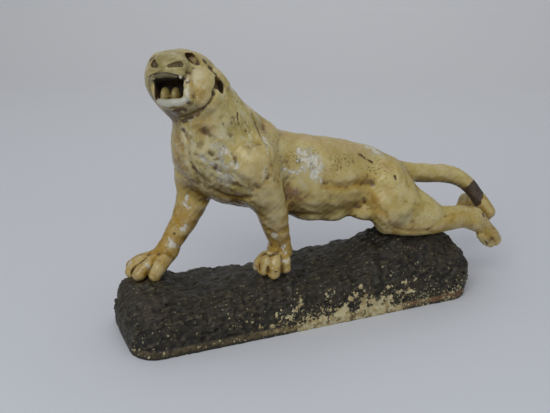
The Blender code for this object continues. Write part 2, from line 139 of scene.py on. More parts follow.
def curve(points, n=4):
    """smooth line through the listed points"""
    p = np.array(points, float)
    if len(p) < 3:
        return p
    q = np.vstack([2 * p[0] - p[1], p, 2 * p[-1] - p[-2]])
    out = []
    for i in range(1, len(q) - 2):
        a, b, c, d = q[i - 1], q[i], q[i + 1], q[i + 2]
        for t in np.arange(n) / n:
            out.append(0.5 * (2 * b + (c - a) * t + (2 * a - 5 * b + 4 * c - d) * t * t
                              + (3 * b - a - 3 * c + d) * t ** 3))
    out.append(p[-1])
    return np.array(out)


class Clay:
    """adds and cuts rounded lumps in a distance field"""

    def __init__(self, field):
        self.f = field

    def region(self, pts, m):
        pts = np.atleast_2d(pts)
        q = self.f.window(pts.min(0) - m, pts.max(0) + m)
        return q if self.f.d[q].size else None

    def merge(self, q, d, k, cut):
        self.f.d[q] = smax(self.f.d[q], -d, k) if cut else smin(self.f.d[q], d, k)

    def tube(self, points, k=6.0, flat=1.0, cut=False, n=4):
        """limb through points (x, y, z, radius); flat > 1 makes it narrower front to back"""
        p = curve(points, n)
        q = self.region(p[:, :3], p[:, 3].max() + k + 4)
        if q is None:
            return
        x, y, z = self.f.xyz(q)
        s = np.array([1.0, flat, 1.0])
        d = None
        for a, b in zip(p[:-1], p[1:]):
            e = cone_distance(x, y * np.float32(flat), z, a[:3] * s, b[:3] * s, a[3], b[3])
            d = e if d is None else np.minimum(d, e)
        self.merge(q, d, k, cut)

    def egg(self, c, r, k=6.0, axes=None, cut=False):
        c = np.array(c, float)
        q = self.region(c, max(r) * 1.4 + k + 6)
        if q is None:
            return
        x, y, z = self.f.xyz(q)
        px, py, pz = x - np.float32(c[0]), y - np.float32(c[1]), z - np.float32(c[2])
        if axes is None:
            u, v, w = px, py, pz
        else:
            u, v, w = (px * np.float32(a[0]) + py * np.float32(a[1]) + pz * np.float32(a[2])
                       for a in axes)
        k0 = np.sqrt((u / r[0]) ** 2 + (v / r[1]) ** 2 + (w / r[2]) ** 2)
        k1 = np.sqrt((u / r[0] ** 2) ** 2 + (v / r[1] ** 2) ** 2 + (w / r[2] ** 2) ** 2) + 1e-6
        self.merge(q, (k0 * (k0 - 1) / k1).astype(np.float32), k, cut)

    def block(self, c, half, radius, k=2.0, axes=None, cut=True):
        c = np.array(c, float)
        q = self.region(c, float(np.linalg.norm(half)) + k + 3)
        if q is None:
            return
        x, y, z = self.f.xyz(q)
        px, py, pz = x - np.float32(c[0]), y - np.float32(c[1]), z - np.float32(c[2])
        a = np.eye(3) if axes is None else axes
        w = [np.abs(px * np.float32(a[i][0]) + py * np.float32(a[i][1]) + pz * np.float32(a[i][2]))
             - np.float32(half[i] - radius) for i in range(3)]
        out = np.sqrt(sum(np.maximum(v, 0) ** 2 for v in w))
        d = out + np.minimum(np.maximum(w[0], np.maximum(w[1], w[2])), 0) - radius
        self.merge(q, d.astype(np.float32), k, cut)

    def line(self, points, width, depth, n=4):
        """modelling-tool mark: depth > 0 sinks a groove, depth < 0 raises a ridge"""
        p = curve(points, n)
        q = self.region(p, width * 2.6 + 2)
        if q is None:
            return
        x, y, z = self.f.xyz(q)
        d = None
        for a, b in zip(p[:-1], p[1:]):
            e = cone_distance(x, y, z, a, b, 0.01, 0.01)
            d = e if d is None else np.minimum(d, e)
        self.f.d[q] += (depth * np.exp(-(d / width) ** 2)).astype(np.float32)

    def dab(self, c, w, depth):
        """soft dent (depth > 0) or swelling (depth < 0)"""
        w = np.array(w if hasattr(w, '__len__') else (w, w, w), float)
        c = np.array(c, float)
        q = self.region(c, w.max() * 2.6 + 2)
        if q is None:
            return
        x, y, z = self.f.xyz(q)
        e = ((x - c[0]) / w[0]) ** 2 + ((y - c[1]) / w[1]) ** 2 + ((z - c[2]) / w[2]) ** 2
        self.f.d[q] += (depth * np.exp(-e)).astype(np.float32)


# ---------------------------------------------------------------- rock
def spread(table_x, values, x):
    """smooth interpolation along one line of stations"""
    tx = np.array(table_x, float)
    v = np.array(values, float)
    i = np.clip(np.searchsorted(tx, x) - 1, 0, len(tx) - 2)
    t = np.clip((x - tx[i]) / (tx[i + 1] - tx[i]), 0, 1)
    t = t * t * (3 - 2 * t)
    return v[i] * (1 - t)[:, None] + v[i + 1] * t[:, None]


def rock_top(x, y):
    """height of the rock over a grid of x by y"""
    rows = spread([r[0] for r in ROCK_TOP], [r[1] for r in ROCK_TOP], x)
    cols = spread(ROCK_Y, rows.T, y)
    return cols.T


def lumps(x, y, z, size, seed, count=5):
    """rounded random swellings, about -1 to 1"""
    rng = np.random.RandomState(seed)
    out = 0.0
    for _ in range(count):
        v = rng.normal(size=3)
        v = v / np.linalg.norm(v) * (6.2832 / size) * rng.uniform(0.7, 1.3)
        out = out + np.sin(x * np.float32(v[0]) + y * np.float32(v[1]) + z * np.float32(v[2])
                           + np.float32(rng.uniform(0, 6.28)))
    return (out / np.sqrt(count)).astype(np.float32)


def rock_distance(f, q):
    x, y, z = f.xyz(q)
    top = rock_top(f.ax[0][q[0]].astype(float), f.ax[1][q[1]].astype(float)).astype(np.float32)[:, :, None]
    inset = BASE_FLARE * np.clip(z / 52.0, 0, 1.3) ** 1.4
    inset = inset + PLINTH_STEP * np.clip((z - PLINTH_HEIGHT) / 2.0, 0, 1)
    qx = np.abs(x) - (BASE_LENGTH / 2 - BASE_CORNER) + inset
    qy = np.abs(y) - (BASE_WIDTH / 2 - BASE_CORNER) + inset
    side = np.sqrt(np.maximum(qx, 0) ** 2 + np.maximum(qy, 0) ** 2) + np.minimum(np.maximum(qx, qy), 0) - BASE_CORNER
    fade = np.clip((z - PLINTH_HEIGHT) / 14.0, 0, 1)
    side = side + fade * (1.5 * lumps(x, y, z, 46.0, 5) + 0.9 * lumps(x, y, z, 21.0, 6))
    cap = (z - top) * np.float32(0.9) + 1.3 * lumps(x, y, z, 34.0, 7) + 0.8 * lumps(x, y, z, 16.0, 8)
    return smax(side, cap, 16.0)


def add_rock(clay, k):
    f = clay.f
    q = f.window((-222, -78, -9), (222, 78, 110))
    if f.d[q].size:
        d = rock_distance(f, q)
        x, y, z = f.xyz(q)
        for c, r in ROCK_BULGES:
            k0 = np.sqrt(((x - c[0]) / r[0]) ** 2 + ((y - c[1]) / r[1]) ** 2 + ((z - c[2]) / r[2]) ** 2)
            d = smin(d, ((k0 - 1) * min(r)).astype(np.float32), 12.0)
        f.d[q] = smin(f.d[q], d, k)


# ---------------------------------------------------------------- the animal
def body(c):
    # trunk, chest and neck
    c.tube([(-98, -1, 208, 36), (-72, 0, 190, 44), (-20, 0, 172, 46), (22, 0, 160, 48), (60, 0, 154, 43), (98, 0, 145, 34), (126, 0, 138, 23)], 0, 1.22)
    c.tube([(-78, 0, 192, 38), (-95, -2, 231, 40), (-110, -4, 258, 34.5), (-125, -6, 280, 28)], 26)
    c.egg((-110, 14, 208), (28, 31, 40), 14)
    c.egg((-106, -5, 270), (20, 24, 22), 14)
    # far foreleg, set forward
    c.tube([(-98, 31, 206, 31), (-107, 32, 178, 26), (-113, 29, 147, 19), (-124.5, 27, 122, 15.2), (-139, 26, 100, 12.3), (-148, 25, 86, 11.5)], 14)
    # near foreleg, propping the chest
    c.tube([(-68, -32, 200, 29), (-58, -36, 175, 24), (-46.5, -35, 150, 18.5), (-38, -31, 122, 15), (-32, -28, 102, 12.6), (-31, -26, 88, 13)], 14)
    # far paw
    c.tube([(-148, 25, 86, 11.5), (-159, 24, 75, 13), (-171, 24, 69, 12)], 6)
    for toe in (((-157, 31, 77, 8), (-174, 37, 73, 8.4), (-186, 38, 67, 7.6)),
                ((-164, 28, 79, 8), (-182, 29, 73, 8), (-190, 28, 66, 7.2)),
                ((-162, 20, 79, 8.5), (-176, 19, 73, 8.4), (-184, 16, 66, 7.4)),
                ((-155, 13, 80, 8.5), (-163, 9, 74, 9), (-168, 7, 67, 7.8))):
        c.tube(toe, 2.4)
    # near paw
    c.tube([(-31, -26, 88, 13), (-35, -28, 81, 13), (-39, -30, 74, 12.5)], 6)
    for top, foot in (((-50, -27, 84, 5.8), (-58, -26, 72, 5.6)), ((-46, -31, 86, 7), (-54, -34.5, 71, 6.4)),
                      ((-38.5, -34, 87, 7.4), (-43.5, -41, 68.5, 7.4)), ((-29, -32, 86, 6.8), (-28, -37, 70, 6.0))):
        mid = tuple(0.5 * (p + q) for p, q in zip(top, foot))
        c.tube([top, (mid[0] - 1.0, mid[1] - 2.5, mid[2] + 2.0, mid[3] + 0.6), foot], 1.8)
    # near hind leg: hip, thigh, knee, shank laid back over the rock, foot
    c.tube([(104, -16, 144, 31), (103, -29, 124, 26), (102, -34, 108, 15)], 16)
    c.tube([(104, -34, 104, 13), (130, -36, 101, 16.5), (166, -36, 98, 16), (200, -35, 96, 14), (222, -34, 90, 13)], 8)
    c.tube([(120, -28, 128, 24), (150, -32, 111, 19)], 14)
    c.tube([(222, -34, 90, 12.5), (238, -34, 76, 10.8), (250, -34, 64, 9.6), (257, -34, 56.5, 8.2)], 6)
    c.tube([(234, -38, 68, 7), (240, -40, 60, 6.6), (247, -39, 55, 5.5)], 2)
    # far hind leg
    c.tube([(108, 18, 142, 30), (122, 27, 112, 22), (160, 30, 78, 13), (200, 29, 68, 11), (232, 28, 66, 10), (247, 27, 76, 9)], 10)
    c.tube([(251, 27, 87, 9.5), (264, 27, 83, 11), (280, 27, 75, 10.5)], 6)
    # belly folds and spine
    c.egg((20, -10, 122.5), (22, 15, 10), 9)
    c.egg((42, -14, 120), (16, 14, 11), 8)
    c.egg((62, -12, 122), (13, 12, 9), 7)
    c.egg((75, -24, 119), (13, 14, 10.5), 8)
    c.tube([(-84, -4, 250, 12), (-62, -2, 233, 14.5), (-42, 0, 219, 14)], 14)
    c.egg((80, 0, 178), (20, 12, 9), 12)
    # tail, hanging over the near hock
    c.tube([(118, 2, 146, 20), (130, 2, 148, 15), (146, 3, 148, 12.5), (174, 4, 143, 11.5), (204, 2, 138, 11), (222, -1, 130, 10), (235, -6, 118, 9.3), (243, -13, 105, 9), (248, -19, 96, 9), (251.5, -23, 90, 8.7)], 9)


def head_axes():
    a, e, r = np.radians(HEAD_TURN), np.radians(HEAD_LIFT), np.radians(HEAD_ROLL)
    fwd = np.array([-np.cos(e) * np.sin(a), -np.cos(e) * np.cos(a), np.sin(e)])
    side = np.array([np.cos(a), -np.sin(a), 0.0])
    up = np.cross(fwd, side)
    up = up if up[2] > 0 else -up
    return np.cos(r) * side + np.sin(r) * up, fwd, np.cos(r) * up - np.sin(r) * side


def head(c):
    """head in its own axes: x to the animal's left, y out of the face, z to the crown"""
    S, F, U = head_axes()
    o = np.array(HEAD_AT)

    def g(p):
        return tuple(o + p[0] * S + p[1] * F + p[2] * U)

    def axes(rx=0.0, rz=0.0):
        a, b = np.radians(rx), np.radians(rz)
        f2, u2 = np.cos(a) * F + np.sin(a) * U, -np.sin(a) * F + np.cos(a) * U
        return np.array([np.cos(b) * S + np.sin(b) * f2, -np.sin(b) * S + np.cos(b) * f2, u2])

    def egg(p, r, k=4.0, cut=False, rx=0.0, rz=0.0):
        c.egg(g(p), r, k, axes(rx, rz), cut)

    def tube(pts, k=4.0, cut=False, n=3):
        c.tube([g(p[:3]) + (p[3],) for p in pts], k, 1.0, cut, n)

    def line(pts, width, depth):
        c.line([g(p) for p in pts], width, depth)

    def turned(long, out):
        """axes with the first along long and the last near out, both given in head axes"""
        a = long[0] * S + long[1] * F + long[2] * U
        b = out[0] * S + out[1] * F + out[2] * U
        a = a / np.linalg.norm(a)
        b = b - (b @ a) * a
        b = b / np.linalg.norm(b)
        return np.array([a, np.cross(b, a), b])

    egg((0, -6, 2), (33, 33, 36), 8)                   # skull
    egg((10, -16, 10), (24, 22, 24), 8)
    egg((-20, 4, 18.5), (12.5, 14, 15), 6)                 # far brow
    egg((26, 0, -9), (16.5, 24, 24), 7)
    egg((21, 13, -11), (9.5, 14, 17), 8)                # cheeks
    egg((-21, 2, 5), (15, 22, 19), 8)
    egg((8, 6, -19), (17, 20, 15), 8)                  # jaw
    egg((5, 18, -27), (15, 14, 9), 5)                  # chin
    egg((-2, 14, 12), (21.5, 26, 18), 5)               # muzzle
    egg((-2.2, 30, 8), (20.8, 14, 13), 5)
    egg((-3.5, 32, -0.5), (20.5, 9.5, 6), 4)                    # upper lip
    tube([(-16, 24, -4, 5), (-17, 22, -14, 5), (-11, 22, -23, 5)], 5)   # lip corners
    tube([(15, 26, -5, 5.5), (18, 24, -14, 6), (15, 24, -24, 5.5)], 4)
    tube([(16.5, 28.5, -4, 3), (18.2, 28.5, -12, 3.0), (17.8, 27.5, -21, 3.0)], 3.5)
    # near eye: brow, socket, ball, lower lid
    tube([(9, 25, 22, 4), (16, 20, 23.6, 4), (22.5, 12, 21.5, 4), (27.5, 6, 16, 4)], 4)
    c.egg(g((17.6, 19.8, 19.4)), (7.6, 5.0, 5.0), 1.5, turned((10, -8, -7.0), (0.3, 0.9, 0.25)), True)
    c.egg(g((18.8, 16.0, 18.4)), (5.2, 3.9, 3.9), 0.8, turned((10, -8, -7.5), (0.3, 0.9, 0.25)))
    line([(12, 27, 17), (17, 23, 13), (23, 18, 10.5), (27, 14, 10)], 1.8, -1.0)
    # far eye
    egg((-17, 19, 24.5), (8, 6, 3), 2, True, rz=25)
    egg((-17, 16, 23.5), (6, 4, 3), 1, rz=25)
    # nostrils and the pad between them
    egg((-15.8, 39, 10.8), (4.2, 6, 4.0), 1.0, True)
    tube([(-14.5, 40.5, 9, 3.4), (-9.5, 43.5, 5.8, 1.5)], 1.0, True)
    tube([(2, 43.5, 4.8, 1.0), (8, 41.5, 6.8, 2.4), (13.2, 38.5, 8.2, 3.2)], 1.0, True)
    c.block(g((-1.0, 30, -14.6)), (15.3, 25, 10.9), 4, 1.2, axes(-6))        # open mouth
    egg((-8.4, 17, -18), (5.3, 11, 9.4), 1.0)          # tongue, in two lobes
    egg((2.8, 16, -18.2), (4.9, 11, 9.0), 1.0)
    tube([(12.2, 34.5, -1, 2.0), (12.6, 34, -5.2, 1.0)], 0.6)                       # one tooth
    tube([(-11, 26.5, -26, 3.6), (-3, 29, -28.5, 4), (4, 30, -29, 4), (12, 28, -28, 3.8), (18, 25.5, -23.5, 3.4)], 3)   # lower lip
    # near ear laid back: flap, hollow under it
    tube([(25, 0, 20.5, 4.2), (30, -0.5, 15.4, 5.2), (36.2, -3.4, 10, 5.9), (42, -8, 4.6, 5.6), (46, -12, 0.6, 4.6)], 2)
    c.egg(g((41.2, -0.9, -3.4)), (9.6, 5.2, 8.6), 1.0, turned((6, -4, -12), (0.55, 0.83, 0.1)), True)
    # far ear
    tube([(-22, -10, 24, 7), (-32, -20, 18, 7), (-36, -30, 11, 5)], 4)
    egg((-38, -21, 11), (4, 8, 5), 1.5, True)
    # lip edge, muzzle folds, jaw fold behind the cheek
    line([(-15, 37, -3), (-11, 40, -1), (-5, 42, 0), (1, 42, -2), (6, 41, -3), (11, 37, -4), (16, 31, -5)], 1.1, 1.6)
    line([(28, 10, 20), (31.3, 9, 16.8), (34.3, 7, 12.8), (37, 3.5, 8.5), (38.5, 0, 4.5)], 1.5, 2.4)     # ear to head
    line([(14, 26, 21), (18, 25, 16), (20, 26, 10), (18, 29, 3), (16, 32, -4)], 1.9, 1.3)
    line([(39.5, 4, 0), (39, 8, -12), (37, 8.5, -19), (31, 9, -26.5), (22.5, 7.5, -32.5), (13.5, 5, -37)], 2.7, 2.6)
    c.dab(g((39.5, 8, -13)), (4, 4, 4), 2.2)


def outer_skin(v, quads):
    """keep the one largest closed skin and drop sealed pockets"""
    label = np.arange(len(v))
    while True:
        m = label[quads].min(1)
        new = label.copy()
        for i in range(4):
            np.minimum.at(new, quads[:, i], m)
        new = new[new]
        if (new == label).all():
            break
        label = new
    own = label[quads[:, 0]]
    names, count = np.unique(own, return_counts=True)
    quads = quads[own == names[count.argmax()]]
    used, quads = np.unique(quads, return_inverse=True)
    return v[used], quads.reshape(-1, 4)


def surface(f):
    """closed quad mesh on the zero level of the field"""
    d = f.d
    s = d < 0
    nx, ny, nz = d.shape
    c = np.zeros((nx - 1, ny - 1, nz - 1), bool)
    ref = s[:-1, :-1, :-1]
    for i in (0, 1):
        for j in (0, 1):
            for k in (0, 1):
                c |= s[i:nx - 1 + i, j:ny - 1 + j, k:nz - 1 + k] != ref
    cells = np.argwhere(c)
    idx = np.full(c.shape, -1, np.int64)
    idx[tuple(cells.T)] = np.arange(len(cells))
    acc = np.zeros((len(cells), 3))
    cnt = np.zeros(len(cells))
    corners = [(i, j, k) for i in (0, 1) for j in (0, 1) for k in (0, 1)]
    for a in corners:
        for b in corners:
            if a > b or sum(abs(a[i] - b[i]) for i in range(3)) != 1:
                continue
            da = d[cells[:, 0] + a[0], cells[:, 1] + a[1], cells[:, 2] + a[2]].astype(float)
            db = d[cells[:, 0] + b[0], cells[:, 1] + b[1], cells[:, 2] + b[2]].astype(float)
            m = (da < 0) != (db < 0)
            t = np.where(m, da / np.where(m, da - db, 1), 0)
            acc += (np.array(a)[None, :] + t[:, None] * (np.array(b) - np.array(a))[None, :]) * m[:, None]
            cnt += m
    v = f.lo + f.h * (cells + acc / cnt[:, None])
    quads = []
    for axis in range(3):
        o = [i for i in range(3) if i != axis]
        near, far = [slice(1, -1)] * 3, [slice(1, -1)] * 3
        near[axis], far[axis] = slice(0, -1), slice(1, None)
        inside, outside = s[tuple(near)], s[tuple(far)]
        e = np.argwhere(inside != outside)
        solid_first = inside[tuple(e.T)]
        e[:, o[0]] += 1
        e[:, o[1]] += 1
        ring = []
        for du, dv in ((-1, -1), (0, -1), (0, 0), (-1, 0)):
            g = e.copy()
            g[:, o[0]] += du
            g[:, o[1]] += dv
            ring.append(idx[g[:, 0], g[:, 1], g[:, 2]])
        q = np.stack(ring, 1)
        turn = ~solid_first if axis != 1 else solid_first
        q[turn] = q[turn][:, ::-1]
        quads.append(q)
    return outer_skin(v, np.vstack(quads))


def untangle(d):
    """fill corners where two walls would meet along one edge or at one point, so the skin stays closed"""
    for _ in range(12):
        s = d < 0
        hit = np.zeros(d.shape, bool)
        for i, j in ((0, 1), (0, 2), (1, 2)):
            a = [[slice(None)] * 3 for _ in range(4)]
            for m, (u, v) in enumerate(((0, 0), (0, 1), (1, 1), (1, 0))):
                a[m][i] = slice(0, -1) if u == 0 else slice(1, None)
                a[m][j] = slice(0, -1) if v == 0 else slice(1, None)
            w = [s[tuple(q)] for q in a]
            bad = (w[0] == w[2]) & (w[1] == w[3]) & (w[0] != w[1])
            for q in a:
                hit[tuple(q)] |= bad
        lo, hi = slice(0, -1), slice(1, None)
        cube = {(i, j, k): s[(lo, hi)[i], (lo, hi)[j], (lo, hi)[k]] for i in (0, 1) for j in (0, 1) for k in (0, 1)}
        total = sum(c.astype(np.int8) for c in cube.values())
        for (i, j, k), one in cube.items():
            other = cube[(1 - i, 1 - j, 1 - k)]
            bad = (one & other & (total == 2)) | (~one & ~other & (total == 6))
            for (a0, b0, c0) in cube:
                hit[(lo, hi)[a0], (lo, hi)[b0], (lo, hi)[c0]] |= bad
        hit &= ~s
        if not hit.any():
            break
        d[hit] = -0.02
    return d

# ---------------------------------------------------------------- finer modelling than the frame carries
def bent(points, nudge):
    """the same points, each moved by the same small amount"""
    return [tuple(a + b for a, b in zip(p, nudge)) for p in points]


PAW_GROOVES = (
    ((-172, 21, 82), (-181, 20, 78), (-188, 21, 72), (-190, 22, 66)),
    ((-167, 9, 80), (-171, 8, 77), (-175, 8, 72), (-176, 8, 67)),
    ((-51, -31, 88), (-57, -34, 80), (-59, -36, 72)),
    ((-47, -37, 88), (-51, -40, 80), (-52, -42, 72)),
    ((-36, -40, 87), (-36.5, -45, 80), (-36, -45, 72)),
)


def body_marks(c):
    """folds, tool marks and gouges in the animal, in world millimetres"""
    # breast: middle groove, the fold under the far shoulder, the edge of the breast
    c.line([(-136, -20, 238), (-133, -24, 225), (-132, -22, 208), (-126, -23, 194), (-120, -18, 178)], 2.6, 2.2)
    c.line([(-136, -22, 241), (-132, -26, 234), (-129, -29, 228)], 1.2, 1.0)
    c.line([(-132, 38, 182), (-132, 12, 181), (-127, -3, 177), (-121, -13, 174)], 4.0, 2.4)
    c.line([(-108, -28, 172), (-96, -30, 165), (-82, -38, 162), (-75, -51, 168)], 3.6, 1.8)
    c.line([(-118, -34, 236), (-108, -42, 222), (-104, -46, 205), (-98, -46, 190)], 6.0, 1.6)
    c.dab((-98, -45, 222), (9, 9, 12), -2.0)
    c.dab((-76, -54, 200), (13, 10, 14), -2.2)
    c.dab((-116, -38, 242), (5, 4, 4), 1.2)
    c.dab((-113, -38, 216), (4, 4, 5), 1.0)
    c.dab((-108, -38, 200), (4, 4, 5), 1.3)
    c.dab((-70, -59, 181), (4, 4, 4), 1.4)
    c.dab((-58, -60, 190), (4, 4, 5), 1.6)
    # behind the near shoulder
    c.line([(-59, -18, 247), (-56, -26, 234), (-55, -40, 226), (-52, -51, 215), (-52, -56, 206), (-48, -56, 196), (-43, -55, 182)], 2.6, 1.3)
    c.line([(-47, -52, 204), (-45, -53, 195), (-39, -49, 184)], 1.6, 1.0)
    c.line([(-34, -45, 172), (-29, -39, 153)], 3.0, 1.4)
    # neck and throat
    c.line([(-81, -33, 257), (-82, -36, 250), (-81, -38, 243)], 0.9, 1.2)
    c.line([(-71, -31, 244), (-70, -35, 238)], 0.9, 1.0)
    c.line([(-139, -26, 256), (-132, -30, 253), (-126, -34, 257), (-121, -38, 264)], 2.0, 1.5)
    c.line([(-137, -23, 249), (-131, -30, 250), (-123, -36, 254)], 1.4, 0.9)
    c.dab((-46, -14, 231), (8, 10, 8), 1.8)
    # flank, belly, thigh
    c.line([(18, -39, 166), (32, -39, 160), (47, -37, 157), (62, -35, 158), (78, -36, 156)], 5.0, 2.4)
    c.line([(-7, -31, 139), (27, -27, 126), (54, -25, 127), (70, -30, 136)], 1.6, -0.8)
    c.line([(71, -31, 139), (74, -31, 130), (77, -31, 121)], 2.2, 1.6)
    c.line([(90, -51, 124), (96, -51, 109), (108, -50, 100)], 2.2, 0.8)
    c.line([(108, -50, 100), (113, -49, 98), (134, -52, 95), (147, -53, 95)], 2.0, 0.4)
    c.line([(69, -21, 188), (76, -23, 183), (84, -24, 178)], 1.8, 1.8)
    c.dab((106, -41, 162), (2.2, 3, 3.6), 1.8)
    c.line([(134, -7, 164), (124, -32, 162), (122, -44, 151)], 2.6, 0.8)
    c.line([(110, -53, 140), (119, -54, 132), (132, -51, 127)], 2.4, 0.5)
    c.line([(146, -52, 94), (157, -54, 100), (172, -49, 106), (185, -48, 106)], 2.6, 0.8)
    for i, (px, pz) in enumerate(((-18, 176), (-4, 172), (10, 168), (23, 163))):       # ribs, faint
        c.line([(px - 6, -34 + i, pz + 20), (px, -45 + i, pz), (px + 3, -42 + i, pz - 18)], 4.0, 1.1)
    # masses of the breast and shoulder, with the valleys between them
    c.line([(-118, -36, 240), (-104, -44, 228), (-92, -48, 214), (-86, -50, 200)], 3.4, 1.6)
    c.line([(-95, -43, 246), (-84, -46, 236), (-72, -48, 228), (-62, -46, 222)], 3.0, 1.2)
    c.line([(-127, -28, 214), (-116, -38, 206), (-104, -41, 196)], 3.0, 1.3)
    c.line([(-112, -34, 190), (-100, -40, 182), (-88, -48, 180)], 3.2, 1.2)
    c.line([(-92, -50, 196), (-84, -55, 186), (-74, -58, 176)], 2.6, 1.0)
    c.line([(-66, -44, 240), (-58, -48, 232), (-52, -50, 224)], 2.6, 1.2)
    for cx, cy, cz, w, s in ((-108, -40, 230, 7, -0.9), (-122, -32, 216, 6, -0.8), (-100, -44, 204, 7, -1.0), (-108, -38, 186, 6, -0.8),
                             (-88, -48, 228, 8, -0.9), (-70, -56, 212, 8, -1.0), (-62, -56, 166, 7, -0.7), (-28, -46, 186, 9, -0.8),
                             (86, -50, 138, 9, -1.2), (104, -52, 122, 8, -0.9), (94, -36, 164, 8, -1.0), (52, -34, 170, 10, -0.9),
                             (14, -42, 150, 9, -1.0), (36, -34, 134, 8, -0.9)):
        c.dab((cx, cy, cz), w, s)
    # far side: shoulder blade, flank hollow, thigh
    c.line([(-52, 34, 226), (-50, 50, 212), (-56, 55, 196), (-60, 52, 180)], 2.6, 1.6)
    c.line([(24, 36, 168), (44, 34, 158), (66, 33, 150), (80, 38, 144)], 5.0, 2.0)
    c.line([(84, 44, 150), (96, 48, 132), (110, 47, 112)], 2.4, 1.2)
    c.line([(-96, 46, 240), (-84, 48, 228), (-74, 50, 214)], 3.0, 1.2)
    for cx, cy, cz, w, s in ((-90, 50, 216, 8, -1.0), (-70, 52, 196, 9, -1.0), (-20, 46, 184, 10, -0.8), (20, 40, 160, 10, -0.8),
                             (94, 46, 142, 9, -1.0), (112, 44, 120, 8, -0.8)):
        c.dab((cx, cy, cz), w, s)
    # paws: wrist folds, grooves between the toes
    c.line([(-52, -31, 89), (-47, -37, 90), (-39, -39, 90)], 2.2, 1.6)
    c.line([(-176, 32, 82), (-168, 24, 84), (-160, 16, 86)], 2.4, 1.0)
    for groove in PAW_GROOVES:
        c.line(groove, 1.5, 1.9)
    # small slits down the side of the neck
    rng = np.random.RandomState(12)
    for i in range(22):
        a, b = rng.uniform(0, 1), rng.uniform(0, 1)
        p = np.array([-100 + 34 * a, -40 + 4 * a - 2 * b, 236 + 26 * b])
        c.line([tuple(p + (0.6, -0.5, 2.6)), tuple(p), tuple(p + (0.8, 0.6, -2.8))], 1.1, 0.8)
    # tail: a soft groove where the paint changes
    c.line([(229, -11, 127), (236, -14, 118)], 1.2, 0.6)


def clay_skin(f, amount=0.42):
    """the slightly uneven surface of hand-finished clay"""
    q = (slice(None),) * 3
    x, y, z = f.xyz(q)
    near = np.abs(f.d) < 4.0
    n = 0.55 * lumps(x, y, z, 24.0, 21, 4) + 0.5 * lumps(x, y, z, 11.0, 22, 4) + 0.25 * lumps(x, y, z, 6.0, 23, 4)
    f.d += np.where(near, amount * n, 0).astype(np.float32)


def rock_marks(c):
    """clay strokes pressed over the rock: short ridges and hollows, and a few marks that stand out"""
    rng = np.random.RandomState(41)
    for i in range(520):
        side = rng.uniform() < 0.72
        x0 = rng.uniform(-204, 204)
        if side:                                   # on the four walls
            wall = rng.choice(4, p=(0.42, 0.34, 0.12, 0.12))
            z0 = rng.uniform(14, 50)
            if wall < 2:
                p = np.array([x0, (-59.5, 59.5)[wall], z0])
                t = np.array([1.0, 0.0, 0.0])
            else:
                p = np.array([(-206.5, 206.5)[wall - 2], rng.uniform(-50, 50), z0])
                t = np.array([0.0, 1.0, 0.0])
            a = rng.normal(0.0, 0.7)
            d = np.cos(a) * t + np.sin(a) * np.array([0, 0, 1.0])
        else:
            y0 = rng.uniform(-52, 52)
            z0 = float(rock_top(np.array([x0]), np.array([y0]))[0, 0])
            p = np.array([x0, y0, z0])
            a = rng.uniform(0, np.pi)
            d = np.array([np.cos(a), np.sin(a) * 0.7, 0.0])
        length = rng.uniform(8, 24)
        bow = np.cross(d, [0.3, 0.5, 1.0]) * rng.uniform(-3, 3)
        pts = [tuple(p - d * length / 2), tuple(p + bow), tuple(p + d * length / 2)]
        w = rng.uniform(1.8, 4.2)
        c.line(pts, w, rng.choice((-1.0, 1.0)) * rng.uniform(0.6, 1.7) * (w / 3.0) ** 0.5)
    for i in range(620):                           # small dents and pimples
        x0, y0 = rng.uniform(-206, 206), rng.uniform(-58, 58)
        if rng.uniform() < 0.55:
            y0 = -60.0 if rng.uniform() < 0.65 else 60.0
            z0 = rng.uniform(12, 50)
        else:
            z0 = float(rock_top(np.array([x0]), np.array([y0]))[0, 0])
        w = rng.uniform(1.2, 3.0)
        c.dab((x0, y0, z0), w, rng.choice((-1.0, 1.0), p=(0.45, 0.55)) * rng.uniform(0.5, 1.3))
    # a ring-shaped pit and a deep pit on the shelf, a slit and a bow low on the front
    c.line([(-95, -44, 52), (-90, -48, 51), (-85, -45, 52), (-88, -40, 53), (-95, -44, 52)], 1.2, 1.2)
    c.dab((-116, -44, 47), (3, 3, 3), 2.0)
    c.line([(-136, -60, 22), (-128, -61, 20), (-120, -60, 21)], 1.2, 1.6)
    c.line([(-92, -60, 27), (-88, -60, 24), (-87, -60, 21)], 1.2, 1.3)


def cat_field(h):
    f = Field(SPACE_LO, SPACE_HI, h)
    c = Clay(f)
    body(c)
    head(c)
    body_marks(c)
    clay_skin(f)
    return f


def rock_field(h):
    f = Field((-222.0, -78.0, -9.0), (228.0, 78.0, 112.0), h)
    c = Clay(f)
    add_rock(c, 0.0)
    plain = f.d.copy()
    rock_marks(c)
    x, y, z = f.xyz((slice(None),) * 3)
    near = np.abs(f.d) < 4.0
    rough = 0.55 * lumps(x, y, z, 12.0, 31, 6) + 0.45 * lumps(x, y, z, 7.0, 32, 7) + 0.3 * lumps(x, y, z, 4.5, 33, 8)
    f.d += np.where(near, rough * np.clip((z - 3) / 8, 0.25, 1), 0).astype(np.float32)
    f.d = np.clip(f.d, plain - 2.0, plain + 2.6)
    f.d = np.maximum(f.d, -z).astype(np.float32)
    return f


# ---------------------------------------------------------------- reading the fields back at the vertices
def sample(f, p, far=30.0):
    g = (p - f.lo) / f.h
    top = f.n - 2
    ok = ((g >= 0) & (g < f.n - 1)).all(1)
    i = np.clip(np.floor(g).astype(int), 0, top)
    t = np.clip(g - i, 0, 1)
    out = np.zeros(len(p))
    for a in (0, 1):
        for b in (0, 1):
            for k in (0, 1):
                w = ((t[:, 0] if a else 1 - t[:, 0]) * (t[:, 1] if b else 1 - t[:, 1]) * (t[:, 2] if k else 1 - t[:, 2]))
                out += w * f.d[i[:, 0] + a, i[:, 1] + b, i[:, 2] + k]
    return np.where(ok, out, far)


